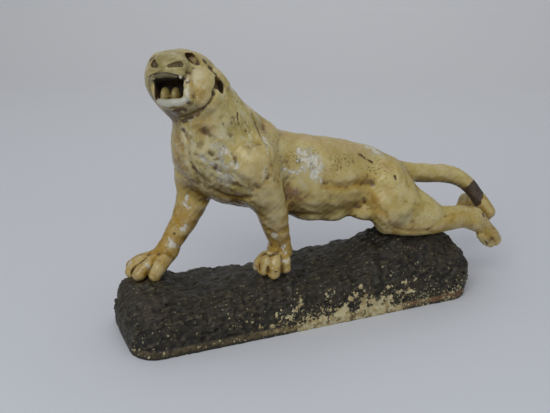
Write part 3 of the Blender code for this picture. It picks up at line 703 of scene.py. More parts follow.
def hollow(fields, p, n, r):
    """0 in the open, towards 1 where other clay stands within r of the surface"""
    q = p + n * r
    d = np.minimum.reduce([sample(f, q) for f in fields])
    return np.clip(1.0 - d / r, 0, 2)


def relief(mesh, p, n, steps):
    """how far the surface lies below (+) or above (-) its own smoothed self, in millimetres, at several widths"""
    e = np.empty(2 * len(mesh.edges), np.int32)
    mesh.edges.foreach_get("vertices", e)
    a, b = e.reshape(-1, 2).T
    size = len(p)
    degree = np.maximum(np.bincount(a, minlength=size) + np.bincount(b, minlength=size), 1)
    s, out = p.copy(), []
    for i in range(max(steps)):
        t = np.empty_like(s)
        for j in range(3):
            t[:, j] = np.bincount(a, s[b, j], size) + np.bincount(b, s[a, j], size)
        s = 0.45 * s + 0.55 * t / degree[:, None]
        if i + 1 in steps:
            out.append(((s - p) * n).sum(1))
    return out


def flat_stroke(q, points, r, floor=24.0):
    """stroke on the face as seen from in front: points are (x, z) in head axes, any depth beyond floor"""
    pts = np.array(points, float)
    d = np.full(len(q), 1e9)
    w = q[:, (0, 2)]
    for a, b in zip(pts[:-1], pts[1:]):
        ab = b - a
        t = np.clip(((w - a) @ ab) / (ab @ ab + 1e-9), 0, 1)
        d = np.minimum(d, ((w - a - t[:, None] * ab) ** 2).sum(1))
    return np.exp(-d / r ** 2) * ramp(q[:, 1], floor - 3, floor)


def blob(p, c, r):
    """soft spot round c"""
    r = np.array(r if hasattr(r, '__len__') else (r, r, r), float)
    return np.exp(-(((p - np.array(c, float)) / r) ** 2).sum(1))


def stroke(p, points, r):
    """soft stroke along the points"""
    q = curve(points, 4)
    d = np.full(len(p), 1e9)
    for a, b in zip(q[:-1], q[1:]):
        ab = b - a
        t = np.clip(((p - a) @ ab) / (ab @ ab + 1e-9), 0, 1)
        d = np.minimum(d, ((p - a - t[:, None] * ab) ** 2).sum(1))
    return np.exp(-d / r ** 2)


def ramp(v, a, b):
    t = np.clip((v - a) / (b - a), 0, 1)
    return t * t * (3 - 2 * t)


# ---------------------------------------------------------------- meshes
def piece(name, f, limit, flat_foot=False):
    v, quads = surface(f)
    if flat_foot:
        v[v[:, 2] < f.h * 0.6, 2] = 0.0
    mesh = bpy.data.meshes.new(name)
    mesh.vertices.add(len(v))
    mesh.vertices.foreach_set("co", (v / 1000.0).astype(np.float32).ravel())
    mesh.loops.add(4 * len(quads))
    mesh.loops.foreach_set("vertex_index", quads.astype(np.int32).ravel())
    mesh.polygons.add(len(quads))
    mesh.polygons.foreach_set("loop_start", np.arange(0, 4 * len(quads), 4, dtype=np.int32))
    mesh.update(calc_edges=True)
    draft = bpy.data.objects.new(name + "_draft", mesh)
    bpy.context.scene.collection.objects.link(draft)
    if 2 * len(quads) > limit:
        thin = draft.modifiers.new("thin", 'DECIMATE')
        thin.ratio = limit / (2.0 * len(quads))
        thin.use_collapse_triangulate = True
    final = bpy.data.meshes.new_from_object(draft.evaluated_get(bpy.context.evaluated_depsgraph_get()))
    bpy.data.objects.remove(draft, do_unlink=True)
    bpy.data.meshes.remove(mesh)
    final.name = name
    final.polygons.foreach_set("use_smooth", np.ones(len(final.polygons), bool))
    final.update()
    done = bpy.data.objects.new(name, final)
    bpy.context.scene.collection.objects.link(done)
    n = len(final.vertices)
    p = np.empty(3 * n, np.float32)
    final.vertices.foreach_get("co", p)
    m = np.empty(3 * n, np.float32)
    final.vertex_normals.foreach_get("vector", m)
    return done, p.reshape(-1, 3).astype(float) * 1000.0, m.reshape(-1, 3).astype(float)


def keep(mesh, name, values):
    a = mesh.attributes.new(name, 'FLOAT', 'POINT')
    a.data.foreach_set("value", np.clip(values, 0, 1).astype(np.float32))


# ---------------------------------------------------------------- node helpers
class Nodes:
    def __init__(self, name):
        self.m = bpy.data.materials.new(name)
        self.m.use_nodes = True
        self.t = self.m.node_tree
        self.shader = self.t.nodes["Principled BSDF"]
        self.place = self.t.nodes.new("ShaderNodeTexCoord").outputs["Object"]
        self.known = {}

    def attr(self, name):
        if name not in self.known:
            n = self.t.nodes.new("ShaderNodeAttribute")
            n.attribute_name = name
            self.known[name] = n.outputs["Fac"]
        return self.known[name]

    def put(self, socket, value):
        if isinstance(value, (int, float)):
            socket.default_value = value
        elif isinstance(value, tuple):
            socket.default_value = value if len(value) == len(socket.default_value) else tuple(value) + (1.0,)
        else:
            self.t.links.new(value, socket)

    def noise(self, size, detail=3.0, rough=0.55, stretch=None, seed=0.0, warp=0.0):
        """grey noise, size is the width of one blotch in millimetres"""
        n = self.t.nodes.new("ShaderNodeTexNoise")
        n.inputs["Scale"].default_value = 1000.0 / size / 2.0
        n.inputs["Detail"].default_value = detail
        n.inputs["Roughness"].default_value = rough
        n.inputs["Distortion"].default_value = warp
        m = self.t.nodes.new("ShaderNodeMapping")
        m.inputs["Location"].default_value = (seed * 0.173, seed * 0.311, seed * 0.077)
        if stretch:
            m.inputs["Scale"].default_value = stretch
        self.t.links.new(self.place, m.inputs["Vector"])
        self.t.links.new(m.outputs["Vector"], n.inputs["Vector"])
        return n.outputs["Fac"]

    def math(self, op, a, b=0.0, c=None, clamp=False):
        n = self.t.nodes.new("ShaderNodeMath")
        n.operation = op
        n.use_clamp = clamp
        self.put(n.inputs[0], a)
        self.put(n.inputs[1], b)
        if c is not None:
            self.put(n.inputs[2], c)
        return n.outputs[0]

    def step(self, v, a, b, lo=0.0, hi=1.0):
        n = self.t.nodes.new("ShaderNodeMapRange")
        n.interpolation_type = 'SMOOTHSTEP'
        self.put(n.inputs["Value"], v)
        n.inputs["From Min"].default_value = a
        n.inputs["From Max"].default_value = b
        n.inputs["To Min"].default_value = lo
        n.inputs["To Max"].default_value = hi
        return n.outputs["Result"]

    def mix(self, f, a, b):
        n = self.t.nodes.new("ShaderNodeMix")
        n.data_type = 'RGBA'
        self.put(n.inputs[0], f)
        self.put(n.inputs[6], a)
        self.put(n.inputs[7], b)
        return n.outputs[2]

    def chips(self, mask, noise, edge=0.06, gain=2.4):
        """hard-edged patches: mask says how likely, noise gives their outline"""
        spread = self.math('MULTIPLY_ADD', noise, 2.0 * gain, 1.0 - gain)
        return self.step(self.math('MULTIPLY', mask, spread), 0.5 - edge, 0.5 + edge)

    def flakes(self, size, chance, seed, warp=0.45, full=0.30):
        """scattered chips with crisp edges, size in millimetres; chance is the share of cells that have lost paint"""
        shift = self.t.nodes.new("ShaderNodeMapping")
        shift.inputs["Location"].default_value = (seed * 0.211, seed * 0.137, seed * 0.091)
        self.t.links.new(self.place, shift.inputs["Vector"])
        ragged = self.t.nodes.new("ShaderNodeTexNoise")
        ragged.inputs["Scale"].default_value = 1000.0 / size / 1.1
        ragged.inputs["Detail"].default_value = 4.0
        ragged.inputs["Roughness"].default_value = 0.65
        self.t.links.new(shift.outputs["Vector"], ragged.inputs["Vector"])
        pull = self.t.nodes.new("ShaderNodeVectorMath")
        pull.operation = 'MULTIPLY_ADD'
        k = 2.0 * warp * size / 1000.0
        pull.inputs[1].default_value = (k, k, k)
        self.t.links.new(ragged.outputs["Color"], pull.inputs[0])
        self.t.links.new(shift.outputs["Vector"], pull.inputs[2])
        cell = self.t.nodes.new("ShaderNodeTexVoronoi")
        cell.inputs["Scale"].default_value = 1000.0 / size
        self.t.links.new(pull.outputs["Vector"], cell.inputs["Vector"])
        part = self.t.nodes.new("ShaderNodeSeparateColor")
        self.t.links.new(cell.outputs["Color"], part.inputs["Color"])
        pick = self.step(self.math('SUBTRACT', chance, part.outputs["Red"]), -0.01, 0.02)
        reach = self.math('ADD', self.math('MULTIPLY_ADD', part.outputs["Green"], 0.30, full), self.math('MULTIPLY', chance, 0.5))
        inside = self.step(self.math('SUBTRACT', reach, cell.outputs["Distance"]), -0.03, 0.05)
        return self.math('MULTIPLY', pick, inside)

    def bump(self, pairs):
        """stack of (height, depth in millimetres)"""
        out = None
        for height, depth in pairs:
            n = self.t.nodes.new("ShaderNodeBump")
            n.inputs["Strength"].default_value = 1.0
            n.inputs["Distance"].default_value = depth / 1000.0
            self.t.links.new(height, n.inputs["Height"])
            if out is not None:
                self.t.links.new(out, n.inputs["Normal"])
            out = n.outputs["Normal"]
        return out


def srgb(r, g, b):
    """screen colour to the linear colour a shader wants"""
    def one(v):
        v = v / 255.0
        return v / 12.92 if v <= 0.04045 else ((v + 0.055) / 1.055) ** 2.4
    return (one(r), one(g), one(b), 1.0)

# ---------------------------------------------------------------- where the paint differs on the animal
def paint_cat(mesh, p, n, own, rock):
    S, F, U = head_axes()
    q = (p - np.array(HEAD_AT)) @ np.array([S, F, U]).T          # the same points in head axes
    x, y, z = p.T
    hx, hy, hz = q.T
    in_head = ramp(z, 252, 266) * ramp(-x, 84, 96)
    shove = np.stack([lumps(x, y, z, 11.0, 71 + i, 5) + 0.7 * lumps(x, y, z, 5.5, 74 + i, 5) for i in range(3)], 1)
    w = p + 2.2 * shove
    wq = q + 0.8 * shove

    # hollowness and relief at each vertex: they set brown glaze mixed with painted shade in crevices, folds, broad
    # hollows and on the underside, and a painted highlight on ridges and swellings
    small = hollow([own, rock], p, n, 2.2)
    mid = hollow([own, rock], p, n, 6.0)
    big = hollow([own, rock], p, n, 15.0)
    r1, r2, r3 = relief(mesh, p, n, (8, 36, 130))
    keep(mesh, "nook", np.maximum(ramp(r1, 0.06, 0.34), ramp(small, 0.2, 0.9)))
    keep(mesh, "fold", np.maximum(ramp(r2, 0.12, 0.95), 0.8 * ramp(mid, 0.25, 0.95)))
    keep(mesh, "shade", np.maximum(ramp(r3, 0.4, 3.0), 0.8 * ramp(big, 0.3, 1.0)))
    keep(mesh, "ridge", ramp(-r2, 0.12, 0.9))
    keep(mesh, "swell", ramp(-r3, 0.3, 3.0))
    keep(mesh, "under", ramp(-n[:, 2], -0.15, 0.85) * ramp(z, 84, 108))

    # golden-brown glaze: legs below the elbow, paws, lower breast, hollow of the flank, knee
    legs = ramp(-z, -172, -118) * ramp(-x, 5, 25)
    hind = ramp(-z, -128, -92) * ramp(x, 60, 110) * 0.75
    gold = np.maximum.reduce([
        0.85 * blob(q, (30, 22, -19), (8, 9, 8)),
        0.6 * stroke(p, [(40, -48, 168), (66, -46, 160), (92, -46, 150)], 9),
        0.5 * blob(p, (-60, -52, 190), (16, 16, 24)),
        0.55 * stroke(p, [(-54, -50, 160), (-46, -46, 134), (-36, -38, 108)], 14),
        0.45 * blob(p, (64, -36, 140), (22, 14, 16)),
        0.85 * legs, 0.75 * hind,
        0.95 * stroke(p, [(-126, 15, 142), (-139, 16, 116), (-146, 16, 102), (-152, 14, 92)], 9),
        1.0 * blob(p, (-40, -40, 102), (18, 16, 16)),
        0.9 * stroke(p, [(-138, -10, 222), (-136, -6, 200), (-130, 3, 180)], 14),
        0.9 * blob(p, (-118, -38, 243), (10, 9, 12)),
        0.9 * stroke(p, [(18, -39, 164), (32, -39, 159), (47, -37, 157), (61, -35, 160), (74, -35, 160)], 8),
        0.8 * stroke(p, [(72, -34, 150), (84, -46, 132), (92, -48, 112)], 8),
        0.7 * stroke(p, [(90, -51, 122), (98, -51, 108), (120, -51, 98), (150, -53, 96)], 8),
        0.9 * blob(p, (102, -31, 172), (8, 9, 7)),
        0.62 * blob(q, (32, 20, -17), (9, 9, 10)),
        0.7 * stroke(q, [(21.5, 30, -6), (22, 30, -14), (22.2, 27, -20)], 3.4),
        0.6 * stroke(p, [(-108, -28, 170), (-88, -31, 160), (-70, -48, 166)], 8),
        0.55 * blob(p, (-16, -38, 156), (14, 12, 14)),
        0.75 * stroke(p, [(160, 30, 84), (200, 29, 72), (232, 28, 70)], 14),
        0.6 * stroke(p, [(-55, -56, 205), (-49, -56, 192), (-44, -54, 176)], 6),
        0.5 * stroke(p, [(150, 0, 142), (176, 0, 136), (204, -4, 130)], 8),
    ])
    keep(mesh, "gold", gold)

    # grey-olive cast: neck, muzzle, crown; on down-facing surfaces it is painted shade
    olive = np.maximum.reduce([
        1.6 * blob(q, (-2, 40, 10), (30, 24, 22)) * in_head,
        1.5 * blob(q, (-28, 8, 4), (16, 30, 34)) * in_head,
        1.2 * blob(q, (8, 4, -36), (26, 18, 12)) * in_head,
        0.9 * stroke(q, [(14, 14, 26), (26, 8, 22), (36, -2, 14), (44, -10, 5)], 8) * in_head,
        0.30 * blob(p, (-104, -34, 250), (30, 26, 18)),
        0.8 * stroke(w, [(-96, -38, 262), (-92, -38, 250), (-94, -42, 236)], 8),
        0.8 * stroke(w, [(-76, -36, 246), (-73, -46, 228), (-74, -52, 214)], 7),
        0.3 * blob(p, (-128, -22, 200), (14, 26, 26)),
        0.9 * stroke(w, [(-58, -22, 240), (-40, -20, 232), (-20, -14, 222)], 8),
        0.6 * blob(p, (26, -22, 116), (32, 18, 9)),
        0.5 * blob(w, (60, -20, 190), (30, 20, 10)),
        # painted shade: darker olive on down-facing surfaces
        0.45 * ramp(-n[:, 2], 0.1, 0.9),
        0.28 * blob(p, (10, -44, 180), (44, 26, 30)),
        0.26 * blob(p, (20, -4, 206), (64, 30, 18)),
    ]).clip(0, 1)
    keep(mesh, "olive", olive)
    keep(mesh, "brushed", np.clip(ramp(-x, 36, 60) * ramp(z, 160, 178) * (1 - 0.15 * in_head), 0, 1))

    pink = np.maximum.reduce([
        0.95 * stroke(p, [(-40, -10, 228), (-28, -7, 226), (-9, -2, 217), (5, -12, 211), (23, -13, 206), (42, -12, 202), (72, -12, 196)], 15),
        0.6 * blob(p, (18, -34, 180), (30, 14, 10)),
        0.7 * blob(q, (30, 20, 0), (9, 10, 9)),
        0.55 * blob(p, (-132, 15, 132), (8, 9, 16)),
        0.8 * blob(p, (-145, 15, 99), (7, 8, 8)),
        0.8 * blob(p, (-184, 15, 72), (4, 5, 4)),
        0.6 * blob(p, (-66, -56, 200), (8, 8, 14)),
    ])
    keep(mesh, "pink", pink)

    # bare white ground where the paint has gone
    white = np.maximum.reduce([
        0.66 * stroke(w, [(-104, -42, 222), (-104, -41, 210), (-103, -40, 197)], 9),
        0.74 * stroke(w, [(-113, -35, 205), (-105, -40, 197), (-96, -44, 188)], 6),
        0.62 * blob(w, (-120, -33, 211), (7, 8, 7)),
        0.58 * blob(w, (-97, -40, 186), (12, 12, 9)),
        0.56 * blob(w, (-92, -51, 208), (7, 8, 10)),
        0.50 * stroke(w, [(-101, -37, 183), (-92, -36, 172), (-78, -46, 166)], 5),
        0.84 * stroke(w, [(-5, -28, 200), (3, -31, 195), (9, -34, 188), (6, -36, 182)], 11),
        0.78 * stroke(w, [(9, -35, 186), (6, -38, 176), (10, -39, 169)], 6),
        0.60 * stroke(w, [(-3, -34, 187), (-14, -36, 183), (-24, -38, 184), (-34, -42, 188)], 6),
        0.55 * blob(w, (-10, -36, 166), (10, 8, 12)),
        0.68 * stroke(w, [(-52, -27, 230), (-53, -36, 226), (-55, -45, 222), (-55, -51, 217)], 3.6),
        0.66 * stroke(w, [(87, -7, 189), (97, -9, 185), (104, -15, 179)], 8),
        0.62 * stroke(w, [(-147, 15, 100), (-142, 15, 97)], 6.5),
        0.60 * stroke(w, [(-131, 15, 121), (-127, 15, 113)], 6),
        0.58 * stroke(w, [(-125, 15, 154), (-126, 15, 142)], 5.5),
        0.62 * stroke(w, [(-33, -41, 102), (-30, -42, 92), (-29, -44, 82)], 4.2),
        0.70 * stroke(w, [(-48, -43, 114), (-42, -43, 112)], 5),
        0.60 * blob(w, (-61, -31, 77), (4, 5, 8)),
        0.70 * blob(w, (-193, 31, 76), (8, 8, 6)),
        0.60 * blob(w, (-174, 12, 78), (5, 5, 4)),
        0.60 * blob(w, (-51, -41, 84), (3.4, 5, 4)),
        0.70 * stroke(wq, [(17.5, 31, -6), (18.5, 31, -13), (18, 30, -22)], 3.0),
        0.42 * blob(w, (-60, 0, 226), (40, 30, 16)),
        0.36 * blob(w, (60, -20, 170), (46, 26, 16)),
        0.36 * blob(w, (-30, 44, 190), (60, 14, 30)),
        0.45 * blob(w, (-96, 46, 210), (26, 14, 24)),
        0.45 * blob(w, (112, 44, 140), (26, 14, 18)),
    ])
    keep(mesh, "white", white)

    # thin whitish bloom, without an edge
    pale = np.maximum.reduce([
        1.0 * blob(w, (-106, -41, 238), (16, 14, 20)),
        1.0 * blob(w, (-106, -40, 212), (18, 14, 18)),
        0.9 * blob(w, (-97, -43, 190), (18, 14, 16)),
        0.7 * blob(w, (-114, -38, 254), (12, 12, 8)),
        0.6 * blob(w, (-80, -50, 200), (12, 12, 22)),
        0.9 * blob(w, (0, -34, 188), (22, 14, 16)),
        0.7 * blob(w, (-26, -38, 188), (16, 12, 12)),
        0.55 * blob(w, (-30, -28, 206), (22, 16, 12)),
        0.7 * blob(wq, (25, 25, 3), (10, 10, 10)),
        0.55 * blob(wq, (4, 36, 16), (12, 10, 8)),
        0.6 * blob(wq, (20, 27, -14), (6, 8, 12)),
        0.6 * blob(w, (96, -12, 184), (18, 14, 10)),
        0.5 * blob(w, (120, -50, 112), (30, 14, 10)),
        0.5 * blob(w, (108, -46, 146), (16, 12, 14)),
        0.6 * stroke(w, [(160, -2, 150), (190, -2, 148), (214, -4, 136)], 6),
        0.5 * blob(w, (-60, -52, 176), (10, 12, 22)),
        0.5 * blob(w, (-48, -50, 140), (8, 10, 24)),
    ])
    pale = pale * (1 - 0.5 * blob(p, (16, -40, 182), (44, 30, 30)))
    pale = np.maximum(pale, 0.62 * blob(w, (-104, -38, 198), (16, 22, 34)))
    keep(mesh, "pale", pale)

    # olive-brown glaze standing in dents
    stain = np.maximum.reduce([
        1.0 * blob(w, (-113, -38, 216), (4.5, 6, 5.5)),
        1.0 * blob(w, (-108, -37, 199), (4.5, 6, 4.5)),
        0.8 * blob(w, (-118, -38, 241), (7, 8, 9)),
        1.0 * blob(w, (-122, -34, 226), (5, 6, 5)),
        0.75 * blob(w, (-95, -42, 236), (6, 7, 8)),
        0.7 * blob(w, (-74, -50, 222), (5, 6, 5)),
        1.0 * stroke(w, [(-127, -23, 199), (-122, -26, 195), (-117, -27, 188), (-114, -25, 179)], 6),
        1.0 * stroke(w, [(-101, -33, 174), (-94, -34, 168), (-87, -33, 162), (-80, -35, 158), (-75, -41, 157)], 6),
        0.95 * stroke(w, [(-75, -57, 182), (-70, -59, 181), (-65, -60, 182)], 5.5),
        0.9 * stroke(w, [(-58, -60, 196), (-55, -60, 190), (-51, -59, 185)], 4),
        0.75 * stroke(w, [(-94, -38, 260), (-91, -39, 250)], 3.6), 0.7 * blob(w, (-101, -40, 253), (3, 5, 5)),
        0.7 * stroke(w, [(-70, -33, 244), (-71, -37, 236)], 3.0),
        0.85 * stroke(w, [(-36, -45, 180), (-32, -43, 170), (-30, -43, 158)], 4.5),
        0.9 * blob(w, (-46, -39, 90), (10, 7, 3.4)),
        0.8 * stroke(w, [(-55, -33, 96), (-52, -37, 90)], 4.4),
        0.9 * stroke(w, [(-38, -43, 100), (-33, -42, 94)], 3.4),
        0.8 * blob(w, (-182, 17, 80), (6, 5, 3)),
        0.7 * stroke(w, [(-150, 14, 94), (-158, 8, 84), (-166, 8, 80)], 3.6),
        1.0 * blob(w, (250, 27, 90), (9, 11, 9)),
        1.0 * blob(w, (238, -43, 60), (7, 8, 7)),
        0.75 * stroke(w, [(212, -44, 82), (222, -42, 76), (229, -40, 68)], 5),
        0.5 * stroke(w, [(148, 0, 132), (176, 0, 130), (206, -4, 124)], 5),
        0.9 * blob(w, (132, -8, 136), (10, 14, 9)),
        0.7 * stroke(w, [(110, -53, 140), (119, -54, 132), (132, -51, 127)], 2.2),
        0.8 * stroke(w, [(71, -31, 139), (74, -31, 130), (77, -31, 121)], 4),
        0.8 * blob(w, (46, -26, 120), (6, 8, 4)),
        0.7 * stroke(wq, [(-20, 30, 14), (-22, 24, 20), (-16, 22, 27), (-6, 34, 24)], 2.2),
        0.7 * stroke(wq, [(6.5, 34, 23), (12, 26, 24)], 2.2),
        0.6 * stroke(wq, [(14, 36, 12), (18, 32, 7), (19.5, 29, 0)], 1.8),
        0.9 * stroke(wq, [(-2, 18.5, -35), (5, 16, -35.5), (10.5, 13.5, -35)], 4.2),
        0.8 * blob(wq, (21, 22, -27.5), (4.2, 5, 3.4)),
        0.6 * stroke(wq, [(-24, 22, -2), (-22, 20, -16)], 3),
        0.5 * blob(wq, (10, 36, 5), (8, 6, 3)),
    ])
    keep(mesh, "stain", stain)
    keep(mesh, "ball", np.maximum(blob(q, (18.2, 19.8, 18.2), (5.4, 6.0, 4.0)), 0.8 * blob(q, (-21, 22, 21), (2.4, 5, 2.4))))
    keep(mesh, "muzzle", np.clip(1.25 * blob(q, (-1, 44, 10), (22, 20, 16)) * in_head, 0, 1))
    keep(mesh, "flap", 0.9 * stroke(q, [(31, 1, 18), (38, 0, 11), (43, -3, 5), (47.5, -7.5, 0)], 3.2))

    # brown spots, gouges and stained seams
    dark = np.maximum.reduce([
        0.8 * stroke(q, [(12.5, 21, 23), (17, 19, 20), (21.5, 15, 17)], 5.6),
        0.9 * stroke(q, [(28, 8, 20.5), (31, 6, 17), (34, 5, 13)], 2.6),
        0.75 * stroke(q, [(28, 10, 20), (31.3, 9, 16.8), (34.3, 7, 12.8), (37, 3.5, 8.5), (38.5, 0, 4.5)], 1.9),
        1.0 * blob(q, (39.5, 8, -13), (3.6, 4, 4.4)),
        0.55 * stroke(q, [(38, 8.5, -18), (31, 9, -27), (22.5, 7, -33), (13, 4.5, -37.5)], 2.2),
        0.60 * stroke(q, [(-4, -6, -38), (6, 0, -38.8), (15, 2.8, -36.8)], 2.8),
        1.7 * stroke(q, [(-1.5, 19.4, -35), (5.2, 19.8, -36), (11, 21.2, -35)], 4.8),
        0.56 * blob(q, (19.8, 31, -8.9), (4, 4, 4)), 0.8 * blob(q, (19.6, 27, -28), (3.4, 4, 2.4)),
        0.85 * stroke(q, [(-28, 18, 19), (-24, 16, 24), (-16, 18, 27)], 1.5),
        0.8 * stroke(q, [(-24, 23, 2), (-19, 32, -2)], 2.0),
        0.62 * stroke(p, [(-127, -22, 198), (-122, -25, 194), (-117, -27, 189)], 3.0),
        0.8 * blob(p, (-78, -24, 266), (2.0, 4, 2.4)),
        0.66 * stroke(p, [(-81, -33, 256), (-82, -36, 250), (-81, -38, 244)], 1.5),
        0.6 * stroke(p, [(-71, -32, 242), (-71, -35, 238)], 1.5),
        0.74 * stroke(p, [(69, -21, 188), (76, -23, 183), (84, -24, 178)], 2.8),
        1.0 * blob(p, (106, -41, 162), (2.4, 4, 3.8)),
        0.85 * blob(p, (-19, -33, 146), (2.6, 5, 2.6)),
        0.7 * blob(p, (-108, -38, 199), (2.4, 4, 3)), 0.7 * blob(p, (-122, -34, 227), (2.4, 4, 2.4)),
        0.8 * blob(p, (-135, 15, 125), 2.0), 0.8 * blob(p, (-141, 15, 110), 2.0), 0.9 * blob(p, (-139, 15, 104), 2.4),
        0.9 * blob(p, (230, -43, 97), (3, 5, 4)),
        0.7 * blob(p, (236, -44, 59), (5, 6, 5)),
        0.66 * stroke(p, [(243, 29, 93), (248, 24, 90)], 4),
        0.7 * stroke(p, [(60, -22, 118), (70, -30, 116)], 3.0),
        0.8 * stroke(p, PAW_GROOVES[0], 1.8), 0.8 * stroke(p, PAW_GROOVES[1], 1.8), 0.66 * stroke(p, PAW_GROOVES[2], 1.6),
        0.66 * stroke(p, PAW_GROOVES[3], 1.6), 0.62 * stroke(p, PAW_GROOVES[4], 1.5),
        0.62 * stroke(p, [(-52, -31, 89), (-47, -37, 90), (-40, -39, 90)], 1.6),
        0.75 * stroke(p, [(-194, 32, 79), (-186, 34, 84), (-172, 32, 86), (-162, 27, 89)], 1.1),
        0.9 * blob(p, (-57, -41, 73), (1.6, 4, 2.4)), 0.9 * blob(p, (-53, -43, 73), (1.4, 4, 2.4)),
        0.9 * blob(p, (-44, -48, 73), (3.4, 4, 1.2)),
        0.9 * blob(p, (-191, 20, 66), 1.8), 0.9 * blob(p, (-186, 14, 66), 1.6),
    ])
    keep(mesh, "dark", dark)

    # reddish bare clay
    red = np.maximum.reduce([
        0.62 * stroke(p, [(-31, -43, 158), (-26, -39, 166), (-18, -37, 160), (-8, -36, 152)], 9),
        0.5 * blob(p, (-132, 15, 186), (8, 10, 8)),
        0.5 * blob(p, (-70, -60, 180), (8, 6, 5)),
        0.5 * blob(p, (-126, 12, 106), (5, 6, 16)),
        0.7 * blob(p, (-46, -44, 70), (6, 7, 4)), 0.6 * blob(p, (-29, -43, 68), (6, 7, 3)),
        0.6 * blob(p, (-158, 4, 72), (5, 6, 5)),
        0.5 * blob(p, (-48, -36, 96), (8, 8, 6)),
    ])
    keep(mesh, "red", red)

    # speckled dots on ribs and hip
    speck = np.maximum.reduce([
        0.8 * blob(p, (-18, -32, 200), (18, 14, 14)),
        0.8 * blob(p, (8, -24, 200), (18, 14, 14)),
        0.9 * blob(p, (40, -30, 184), (30, 16, 14)),
        0.9 * blob(p, (86, -30, 168), (24, 22, 16)),
        0.5 * blob(p, (112, -48, 140), (30, 20, 26)),
        0.5 * blob(p, (180, -2, 142), (50, 20, 16)),
        0.45 * blob(p, (150, -48, 104), (60, 20, 20)),
        0.35 * blob(p, (-92, -40, 250), (14, 14, 16)),
        0.4 * blob(p, (40, 34, 170), (80, 24, 30)),
    ])
    keep(mesh, "speck", speck)

    # near-black paint inside the mouth, nostrils and the hollow of the ear, and with it painted shade in these hollows:
    # the roof of the mouth and the throat near-black, the floor of the mouth lighter brown
    inside = ramp(hz, -25, -22) * ramp(-hz, 1.6, 2.8) * ramp(hx, -18.0, -16.8) * ramp(-hx, -15.9, -15.0) * ramp(hy, -3, 2)
    throat = inside * ramp(-hy, -30.5, -26)
    lobes = np.maximum(ramp(1 - ((hx + 8.4) / 6.2) ** 2 - ((hz + 18) / 10.2) ** 2, -0.05, 0.25),
                       ramp(1 - ((hx - 2.8) / 5.8) ** 2 - ((hz + 18.2) / 9.8) ** 2, -0.05, 0.25)) * ramp(hy, 12, 20)
    ink_and_shade = np.maximum.reduce([
        throat * (1 - 0.92 * lobes),
        0.95 * inside * ramp(-hy, -36, -32) * ramp(hz, -12, -8) * ramp(-hz, 2.4, 3.6),
        1.0 * blob(q, (41.2, -4, -3.5), (5.0, 7.5, 8.0)),
        0.9 * stroke(q, [(-28, 20, -8), (-29, 16, -14)], 0.1),
        0.62 * flat_stroke(q, [(-19, -3.0), (-15, -1.5), (-9, -1.0), (-3, -0.9), (2, -1.4), (8, -2.4), (15.6, -5.0)], 1.2, 26),
    ])
    keep(mesh, "ink_and_shade", ink_and_shade)
    keep(mesh, "deep", ramp(-hz, 8.5, 13.5) * throat)
    keep(mesh, "tongue", lobes * inside)
    keep(mesh, "nostril", np.maximum.reduce([
        1.0 * flat_stroke(q, [(-15.8, 11.2), (-14.0, 9.0)], 3.9, 30),
        0.95 * flat_stroke(q, [(-14, 8.5), (-10, 6)], 2.2, 30),
        0.95 * flat_stroke(q, [(2.5, 5.3), (7, 6.8)], 1.9, 30),
        1.0 * flat_stroke(q, [(8.5, 6.9), (13, 8.2)], 2.9, 28)]))

    # grey paint: lower lip, gum
    lip = np.maximum.reduce([
        1.0 * stroke(q, [(-10, 28, -26), (-3, 31, -28.6), (4, 32, -29.2), (12, 30, -28.3), (17, 28, -25)], 4.0),
    ]) * ramp(hy, 16, 22)
    keep(mesh, "lip", lip)
    gum = flat_stroke(q, [(-13, -3.2), (-4, -2.7), (2, -3.1), (8, -4.1), (13, -5.2)], 1.7, 26)
    keep(mesh, "gum", gum)
    keep(mesh, "tooth", np.maximum(blob(q, (12.4, 34.5, -3.6), (2.0, 3, 2.6)), 0.55 * blob(q, (8.5, 37, -4.4), (2.6, 3, 1.2))))

    # dark band near the end of the tail, ending in a point below
    path = curve([(204, 2, 138), (222, -1, 130), (235, -6, 118), (243, -13, 105), (248, -19, 96), (251.5, -23, 90)], 8)
    far = np.full(len(p), 1e9)
    along = np.zeros(len(p))
    lift = np.zeros(len(p))
    start = 0.0
    for a, b in zip(path[:-1], path[1:]):
        ab = b - a
        length = float(np.linalg.norm(ab))
        t = np.clip(((p - a) @ ab) / length ** 2, 0, 1)
        d = ((p - a - t[:, None] * ab) ** 2).sum(1)
        near = d < far
        far = np.where(near, d, far)
        along = np.where(near, start + t * length, along)
        lift = np.where(near, (p - a - t[:, None] * ab) @ np.array([0.75, 0.2, 0.63]), lift)
        start += length
    wave = 1.2 * lumps(x, y, z, 9.0, 51, 4)
    lower = 56.5 + wave - 0.62 * lift
    band = ramp(along - 0.12 * lift, 29.5 + wave * 0.4, 30.6 + wave * 0.4) * ramp(-along, -lower - 0.6, -lower + 0.6) * ramp(-far, -196, -120)
    keep(mesh, "band", band)

    # where feet meet rock the rock's dark paint laps up a little
    keep(mesh, "splash", ramp(-sample(rock, p), -2.6 + 0.8 * lumps(x, y, z, 8.0, 52, 4), -0.4))


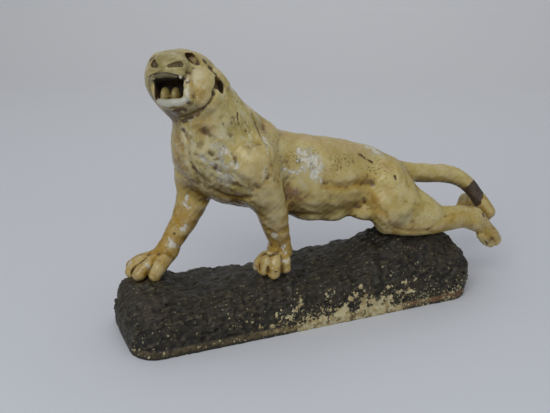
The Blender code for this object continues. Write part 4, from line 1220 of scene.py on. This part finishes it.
def paint_rock(mesh, p, n, own, cat):
    x, y, z = p.T
    r1, r2 = relief(mesh, p, n, (8, 40))
    # hollowness and relief: nook and fold drive painted shade in the rock's hollows, ridge drives rubbed paint on
    # crests
    keep(mesh, "nook", np.maximum(ramp(r1, 0.05, 0.35), ramp(hollow([own, cat], p, n, 2.4), 0.3, 0.9)))
    keep(mesh, "fold", np.maximum(ramp(r2, 0.1, 0.9), 0.8 * ramp(hollow([own, cat], p, n, 7.0), 0.3, 0.9)))
    keep(mesh, "ridge", ramp(-r1, 0.05, 0.30) * ramp(z, 3, 8))
    front = ramp(-n[:, 1], 0.1, 0.6)
    rear = ramp(n[:, 1], 0.1, 0.6)
    low = ramp(-z, -26, -4)
    foot = ramp(-z, -13, -6)
    right = ramp(x, -60, 90)
    drip = lumps(x, y, z, 24.0, 61, 5)
    edge = 11.0 + 4.0 * lumps(x, y, z, 26.0, 62, 4)
    out = np.clip(front + 0.8 * rear, 0, 1)
    middle = ramp(x, -34, -14) * ramp(-x, -128, -104)
    rightward = ramp(x, -66, -30)
    big = np.maximum.reduce([
        0.64 * middle * ramp(-(z - edge), -2, 4),
        0.62 * stroke(p, [(-12, -61, 14), (4, -61, 17), (16, -61, 15)], 7),
        0.66 * stroke(p, [(34, -60, 17), (52, -60, 20), (66, -60, 16)], 8),
        0.66 * stroke(p, [(76, -61, 19), (92, -61, 16), (110, -61, 20)], 8),
        0.42 * stroke(p, [(36, -60, 42), (52, -60, 34), (62, -60, 38), (74, -60, 33)], 7),
        0.42 * stroke(p, [(96, -60, 30), (116, -61, 25), (124, -61, 30)], 8),
        0.40 * stroke(p, [(-48, -61, 22), (-36, -61, 18), (-26, -61, 26), (-18, -61, 36)], 7),
        0.30 * ramp(x, 190, 206) * ramp(-z, -44, -24),
        0.45 * rear * ramp(-z, -16, -6),
    ])
    chips = np.maximum.reduce([
        0.75 * middle * ramp(-(z - edge - 2), -2, 5),
        (0.22 + 0.14 * drip) * rightward * ramp(-z, -34, -12) * out,
        (0.05 + 0.08 * drip) * rightward * ramp(-z, -54, -34) * out,
        0.16 * ramp(x, 180, 205) * ramp(-z, -50, -20),
        (0.08 + 0.10 * drip) * ramp(-z, -34, -8) * out,
        0.28 * stroke(p, [(-209, -44, 14), (-207, -50, 4)], 9),
        0.26 * blob(p, (-176, -60, 26), (14, 8, 6)),
        0.22 * stroke(p, [(-112, -50, 46), (-96, -60, 40), (-84, -60, 34)], 8),
        0.30 * blob(p, (-140, -63, 5), (18, 6, 4)),
        0.006 + 0.0 * z,
    ])
    dust = np.maximum.reduce([
        (0.03 + 0.05 * drip) * rightward * ramp(-z, -62, -50) * out,
        (0.14 + 0.12 * drip) * rightward * ramp(-z, -36, -20) * out,
        0.025 * ramp(x, 60, 120) + 0.0 * z,
        0.028 + 0.0 * z,
    ])
    keep(mesh, "big", np.clip(big, 0, 1))
    keep(mesh, "chips", np.clip(chips, 0, 1))
    keep(mesh, "dust", np.clip(dust, 0, 1))
    sole = ramp(-z, -4.6 - 0.8 * drip, -2.6 - 0.8 * drip) * (1 - middle)
    strip = ramp(-z, -10.5, -8.5) * (1 - sole) * out
    keep(mesh, "worn", np.clip(strip * (0.30 + 0.70 * ramp(x, -110, -30)), 0, 1))
    keep(mesh, "brick", ramp(x, 96, 132) * strip)
    keep(mesh, "pinkish", np.maximum(0.5 * blob(p, (134, -40, 68), (14, 10, 6)), 0.34 * ramp(x, 60, 150) * ramp(-z, -30, -10)))
    # upward-facing surfaces, for a painted highlight
    keep(mesh, "shelf", ramp(n[:, 2], 0.3, 0.95))
    keep(mesh, "glaze", np.clip(ramp(-sample(cat, p), -5.0, -1.0) * ramp(-x, -10, 10), 0, 1))


# ---------------------------------------------------------------- materials
def cat_paint():
    k = Nodes("painted_ceramic_cream")
    a = k.attr
    drift = k.noise(34, 3, 0.5, seed=1)
    cloud = k.noise(13, 4, 0.6, seed=2, warp=0.4)
    grain = k.noise(3.2, 4, 0.65, seed=3)
    chip = k.noise(5.0, 8, 0.76, seed=4, warp=0.5)
    chip2 = k.noise(2.6, 5, 0.7, seed=5)
    streak = k.noise(4.5, 4, 0.6, stretch=(1.0, 1.0, 0.35), seed=6)

    cream = srgb(203, 188, 122)
    c = k.mix(k.step(drift, 0.42, 0.60), cream, srgb(188, 169, 98))
    c = k.mix(k.math('MULTIPLY', k.step(cloud, 0.44, 0.60), 0.75), c, srgb(170, 146, 66))
    c = k.mix(k.math('MULTIPLY', a("olive"), k.step(cloud, 0.25, 0.6, 0.5, 0.95)), c, srgb(146, 136, 84))
    c = k.mix(k.math('MULTIPLY', a("pink"), k.step(streak, 0.35, 0.62, 0.15, 0.75)), c, srgb(194, 165, 120))
    gold = k.math('MULTIPLY', a("gold"), k.step(cloud, 0.3, 0.62, 0.55, 1.0))
    c = k.mix(gold, c, srgb(168, 127, 22))
    c = k.mix(k.math('MULTIPLY', k.math('MULTIPLY', a("gold"), k.step(grain, 0.48, 0.62)), 0.55), c, srgb(120, 84, 20))
    # brushed-looking mottle
    brush = k.math('MULTIPLY', a("brushed"), k.step(k.noise(7.5, 5, 0.66, stretch=(1.0, 1.0, 0.42), seed=15, warp=0.5), 0.47, 0.60))
    c = k.mix(k.math('MULTIPLY', brush, 0.40), c, srgb(150, 132, 58))
    wear = k.math('MULTIPLY', a("brushed"), k.step(k.noise(6.0, 6, 0.70, stretch=(1.0, 1.0, 0.5), seed=16, warp=0.5), 0.52, 0.62))
    c = k.mix(k.math('MULTIPLY', wear, 0.70), c, srgb(208, 202, 168))
    # thin bloom, then bare white ground
    bloom = k.math('MULTIPLY', a("pale"), k.step(k.noise(6.5, 6, 0.68, seed=13, warp=0.4), 0.36, 0.58))
    c = k.mix(k.math('MULTIPLY', bloom, 0.80), c, srgb(200, 196, 170))
    haze = k.math('MULTIPLY', k.step(a("white"), 0.1, 0.7), k.step(chip2, 0.40, 0.60))
    c = k.mix(k.math('MULTIPLY', haze, 0.62), c, srgb(206, 203, 186))
    bare = k.chips(a("white"), chip, 0.10, 3.0)
    c = k.mix(k.math('MULTIPLY', bare, k.step(chip2, 0.36, 0.54, 0.45, 0.98)), c, srgb(216, 214, 204))
    flecks = k.flakes(2.2, 0.05, 17, full=0.2)
    c = k.mix(k.math('MULTIPLY', flecks, 0.55), c, srgb(214, 206, 182))
    # reddish clay
    c = k.mix(k.math('MULTIPLY', k.chips(a("red"), chip, 0.14), 0.75), c, srgb(138, 94, 62))
    # olive-brown stains
    film = k.step(k.math('MULTIPLY_ADD', k.noise(4.4, 6, 0.68, seed=14), 2.0, k.math('MULTIPLY_ADD', a("stain"), 0.9, -1.0)), 0.18, 0.78)
    c = k.mix(k.math('MULTIPLY', film, 0.80), c, k.mix(k.step(grain, 0.4, 0.62), srgb(118, 98, 40), srgb(88, 68, 30)))
    # brown glaze gathered in the hollows, and with it painted shade: brown in broad hollows, dark brown on down-facing
    # surfaces, deeper brown in folds, near-black brown in the narrowest crevices
    c = k.mix(k.math('MULTIPLY', a("shade"), k.step(cloud, 0.3, 0.65, 0.35, 0.8)), c, srgb(150, 117, 38))
    # painted shade: dark brown on down-facing surfaces above the feet
    c = k.mix(k.math('MULTIPLY', a("under"), k.step(cloud, 0.3, 0.65, 0.85, 1.0)), c, srgb(72, 52, 24))
    pooled_glaze_and_shade = k.math('MULTIPLY', a("fold"), k.step(cloud, 0.3, 0.62, 0.45, 1.0))
    c = k.mix(k.math('MULTIPLY', pooled_glaze_and_shade, 0.82), c, srgb(122, 87, 20))
    crevice_glaze_and_shade = k.math('MULTIPLY', a("nook"), k.step(grain, 0.34, 0.6, 0.5, 1.0))
    c = k.mix(k.math('MULTIPLY', crevice_glaze_and_shade, 0.85), c, srgb(64, 44, 24))
    # painted highlight on ridges and broad swellings, partly rubbed paint on the crests
    lit = k.math('MULTIPLY', k.math('MAXIMUM', a("ridge"), k.math('MULTIPLY', a("swell"), 0.5)), k.step(chip, 0.38, 0.6, 0.2, 1.0))
    c = k.mix(k.math('MULTIPLY', lit, 0.5), c, srgb(212, 198, 154))
    c = k.mix(k.math('MULTIPLY', a("muzzle"), k.step(k.noise(5.5, 5, 0.66, seed=18, warp=0.5), 0.38, 0.62, 0.22, 0.72)), c, srgb(120, 110, 54))
    c = k.mix(k.math('MULTIPLY', a("flap"), k.step(grain, 0.35, 0.6, 0.45, 0.9)), c, srgb(176, 160, 108))
    # dots and hairline wear
    dots = k.chips(k.math('MULTIPLY_ADD', a("speck"), 0.25, 0.17), k.noise(1.1, 2, 0.5, seed=7), 0.03)
    c = k.mix(k.math('MULTIPLY', dots, 0.6), c, srgb(92, 68, 36))
    # gouges and spots
    spots = k.chips(k.math('MULTIPLY', a("dark"), 0.95), k.noise(3.6, 4, 0.6, seed=9), 0.07)
    c = k.mix(k.math('MULTIPLY', spots, 0.88), c, srgb(66, 46, 34))
    c = k.mix(k.math('MULTIPLY', k.step(a("ball"), 0.25, 0.6), 0.75), c, srgb(124, 104, 64))
    # lip, gum, tongue, tooth
    c = k.mix(k.step(k.math('MULTIPLY_ADD', k.noise(3.5, 4, 0.6, seed=10), 0.5, a("lip")), 0.62, 0.78), c, srgb(178, 177, 164))
    c = k.mix(k.math('MULTIPLY', k.step(a("gum"), 0.35, 0.6), 0.85), c, srgb(80, 78, 56))
    c = k.mix(k.step(a("nostril"), 0.34, 0.6), c, k.mix(k.step(grain, 0.38, 0.6), srgb(70, 56, 42), srgb(100, 86, 56)))
    # dark paint and painted shade in the mouth, the lip line and the ear hollow: near-black, lighter brown on the floor
    # of the mouth
    c = k.mix(k.step(a("ink_and_shade"), 0.30, 0.62), c, k.mix(a("deep"), srgb(30, 22, 19), srgb(92, 68, 52)))
    c = k.mix(k.math('MULTIPLY', k.step(a("tongue"), 0.2, 0.8), 0.9), c, k.mix(k.step(grain, 0.4, 0.62), srgb(160, 144, 92), srgb(138, 120, 72)))
    c = k.mix(k.step(a("tooth"), 0.4, 0.6), c, srgb(206, 204, 180))
    # tail band
    c = k.mix(k.step(a("band"), 0.45, 0.55), c, k.mix(k.step(grain, 0.4, 0.62), srgb(62, 50, 46), srgb(84, 68, 60)))
    # the rock's dark paint where it laps the feet
    c = k.mix(k.step(a("splash"), 0.35, 0.6), c, srgb(66, 56, 40))
    k.put(k.shader.inputs["Base Color"], k.mix(0.06, c, srgb(120, 96, 40)))

    rough = k.step(cloud, 0.3, 0.7, 0.20, 0.40)
    rough = k.math('ADD', rough, k.math('MULTIPLY', bare, 0.22))
    rough = k.math('ADD', rough, k.math('MULTIPLY', a("ink_and_shade"), 0.45), clamp=True)
    rough = k.math('ADD', rough, k.math('MULTIPLY', spots, 0.12), clamp=True)
    k.put(k.shader.inputs["Roughness"], rough)
    k.put(k.shader.inputs["Specular IOR Level"], 0.45)
    k.put(k.shader.inputs["Normal"], k.bump([
        (k.noise(9, 3, 0.5, seed=11), 0.5),
        (grain, 0.25),
        (k.math('MULTIPLY', bare, -1.0), 0.25),
        (k.math('MULTIPLY', spots, -1.0), 0.35),
        (k.noise(1.1, 2, 0.5, seed=12), 0.06)]))
    return k.m


def rock_paint():
    k = Nodes("painted_ceramic_rock")
    a = k.attr
    drift = k.noise(40, 3, 0.5, seed=21)
    cloud = k.noise(10, 4, 0.62, seed=22, warp=0.5)
    grain = k.noise(2.8, 5, 0.68, seed=23)
    chip2 = k.noise(1.5, 5, 0.72, seed=25, warp=0.3)

    c = k.mix(k.step(drift, 0.35, 0.65), srgb(34, 31, 24), srgb(43, 39, 29))
    c = k.mix(k.math('MULTIPLY', k.step(cloud, 0.45, 0.66), 0.6), c, srgb(58, 49, 33))
    c = k.mix(k.math('MULTIPLY', k.step(grain, 0.50, 0.66), 0.42), c, srgb(76, 67, 48))
    # painted shade: darker in the rock's folds and narrowest hollows
    c = k.mix(k.math('MULTIPLY', a("fold"), 0.6), c, srgb(30, 26, 21))
    c = k.mix(k.math('MULTIPLY', a("nook"), 0.75), c, srgb(20, 17, 14))
    rub = k.math('MULTIPLY', a("ridge"), k.step(grain, 0.4, 0.66))
    c = k.mix(k.math('MULTIPLY', rub, 0.5), c, srgb(98, 88, 66))
    # painted highlight: upward-facing surfaces a little lighter
    c = k.mix(k.math('MULTIPLY', a("shelf"), 0.10), c, srgb(84, 80, 70))
    c = k.mix(k.math('MULTIPLY', k.chips(a("pinkish"), chip2, 0.1), 0.6), c, srgb(112, 86, 68))
    c = k.mix(k.math('MULTIPLY', a("glaze"), 0.35), c, srgb(96, 78, 40))
    # foot band rubbed to a tan or brick-brown ground
    ground = k.mix(a("brick"), srgb(140, 122, 82), srgb(128, 92, 62))
    c = k.mix(k.math('MULTIPLY', a("worn"), k.step(grain, 0.38, 0.56, 0.15, 0.9)), c, ground)
    broad = k.flakes(7.0, a("big"), 41, 1.0, 0.34)
    chip = k.flakes(3.2, a("chips"), 42, 1.0, 0.28)
    speck = k.flakes(1.5, a("dust"), 43, 0.9, 0.30)
    bare = k.math('MAXIMUM', broad, chip)
    tone = k.mix(k.step(grain, 0.42, 0.6), srgb(198, 188, 150), srgb(168, 148, 104))
    c = k.mix(k.math('MULTIPLY', speck, 0.75), c, srgb(178, 172, 134))
    c = k.mix(bare, c, tone)
    k.put(k.shader.inputs["Base Color"], c)
    rough = k.step(cloud, 0.3, 0.7, 0.42, 0.66)
    k.put(k.shader.inputs["Roughness"], k.math('ADD', rough, k.math('MULTIPLY', bare, 0.15), clamp=True))
    k.put(k.shader.inputs["Specular IOR Level"], 0.4)
    k.put(k.shader.inputs["Normal"], k.bump([
        (k.noise(9, 5, 0.65, seed=26, warp=0.6), 1.8),
        (grain, 1.1),
        (k.math('MULTIPLY', bare, -1.0), 0.5),
        (k.noise(1.2, 3, 0.6, seed=27), 0.18)]))
    return k.m


# ---------------------------------------------------------------- the two pieces
def make():
    cat_f = cat_field(CAT_GRID)
    rock_f = rock_field(ROCK_GRID)
    # the animal is solid down to a little way inside the rock
    lo = np.maximum(np.floor((rock_f.lo - cat_f.lo) / cat_f.h).astype(int), 0)
    hi = np.minimum(np.ceil((rock_f.lo + rock_f.h * (rock_f.n - 1) - cat_f.lo) / cat_f.h).astype(int) + 1, cat_f.n)
    q = tuple(slice(int(lo[i]), int(hi[i])) for i in range(3))
    if CAT_GRID != ROCK_GRID:
        raise SystemExit("the two grids must match")
    shift = np.round((cat_f.lo - rock_f.lo) / rock_f.h).astype(int)
    w = tuple(slice(int(lo[i] + shift[i]), int(min(hi[i] + shift[i], rock_f.n[i]))) for i in range(3))
    size = [min(q[i].stop - q[i].start, w[i].stop - w[i].start) for i in range(3)]
    q = tuple(slice(q[i].start, q[i].start + size[i]) for i in range(3))
    w = tuple(slice(w[i].start, w[i].start + size[i]) for i in range(3))
    whole = cat_f.d.copy()
    cat_f.d[q] = np.maximum(cat_f.d[q], -(rock_f.d[w] + 5.0))
    untangle(cat_f.d)
    untangle(rock_f.d)

    cat, p, n = piece("cat_figure", cat_f, CAT_LIMIT)
    cat_f.d = whole
    paint_cat(cat.data, p, n, cat_f, rock_f)
    cat.data.materials.append(cat_paint())

    rock, p, n = piece("rock_base", rock_f, ROCK_LIMIT, True)
    paint_rock(rock.data, p, n, rock_f, cat_f)
    rock.data.materials.append(rock_paint())
    for o in (cat, rock):
        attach(o, "root")
        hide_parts("big_cat_on_rock")


def studio():
    scene = bpy.context.scene
    scene.view_settings.view_transform = 'Standard'

    # floor rising into a curved backdrop, one pale sheet
    width, front, back, rise, bend = 6.0, 2.2, 2.0, 3.0, 0.9
    profile = [(-front, 0.0), (-0.6, 0.0), (0.6, 0.0), (back - bend, 0.0)]
    profile += [(back - bend + bend * np.sin(t), bend - bend * np.cos(t)) for t in np.linspace(0.1, np.pi / 2, 14)]
    profile += [(back, rise)]
    turn = np.radians(CAMERA_AZIMUTH)
    verts, faces = [], []
    for d, h in profile:
        for s in (-width, width):
            verts.append((s * np.cos(turn) + d * np.sin(turn), -s * np.sin(turn) + d * np.cos(turn), h))
    for i in range(len(profile) - 1):
        faces.append((2 * i, 2 * i + 1, 2 * i + 3, 2 * i + 2))
    sheet = bpy.data.meshes.new("backdrop")
    sheet.from_pydata(verts, [], faces)
    sheet.polygons.foreach_set("use_smooth", np.ones(len(faces), bool))
    floor = bpy.data.objects.new("backdrop", sheet)
    scene.collection.objects.link(floor)
    k = Nodes("pale_cloth")
    # painted light: the front of the floor, nearest the camera, lighter and bluer than the rest of the sheet
    keep(sheet, "front", np.repeat([1.0, 1.0, 0.3] + [0.0] * (len(profile) - 3), 2))
    cloth = k.mix(k.noise(400, 2, 0.5, seed=31), srgb(203, 204, 208), srgb(206, 207, 210))
    k.put(k.shader.inputs["Base Color"], k.mix(k.attr("front"), cloth, srgb(214, 218, 227)))
    k.put(k.shader.inputs["Roughness"], 0.95)
    k.put(k.shader.inputs["Specular IOR Level"], 0.1)
    sheet.materials.append(k.m)

    def lamp(name, place, aim, size, power, colour):
        data = bpy.data.lights.new(name, 'AREA')
        data.shape = 'RECTANGLE'
        data.size, data.size_y = size
        data.energy = power
        data.color = colour
        o = bpy.data.objects.new(name, data)
        o.location = place
        o.rotation_euler = (mathutils.Vector(aim) - mathutils.Vector(place)).to_track_quat('-Z', 'Y').to_euler()
        scene.collection.objects.link(o)

    lamp("window", (-1.1, -1.5, 1.7), (0, 0, 0.1), (1.5, 1.5), 23, (1.0, 0.985, 0.95))
    lamp("wall", (0.55, 0.55, 1.5), (0.85, 2.0, 0.9), (1.2, 0.8), 4.8, (1.0, 0.985, 0.975))
    lamp("ceiling", (0.2, 0.4, 2.3), (0, 0, 0), (2.6, 2.6), 14, (0.97, 0.985, 1.0))
    world = bpy.data.worlds.new("room")
    world.use_nodes = True
    world.node_tree.nodes["Background"].inputs["Color"].default_value = (0.93, 0.965, 1.0, 1.0)
    world.node_tree.nodes["Background"].inputs["Strength"].default_value = 0.30
    scene.world = world

    cam = bpy.data.cameras.new("camera")
    cam.sensor_fit = 'HORIZONTAL'
    cam.sensor_width = 36.0
    cam.lens = CAMERA_LENS
    cam.clip_start, cam.clip_end = 0.05, 30.0
    eye = bpy.data.objects.new("camera", cam)
    eye.location = CAMERA_AT
    eye.rotation_euler = (np.radians(90.0 - CAMERA_PITCH), 0.0, -np.radians(CAMERA_AZIMUTH))
    scene.collection.objects.link(eye)
    scene.camera = eye


make()
studio()
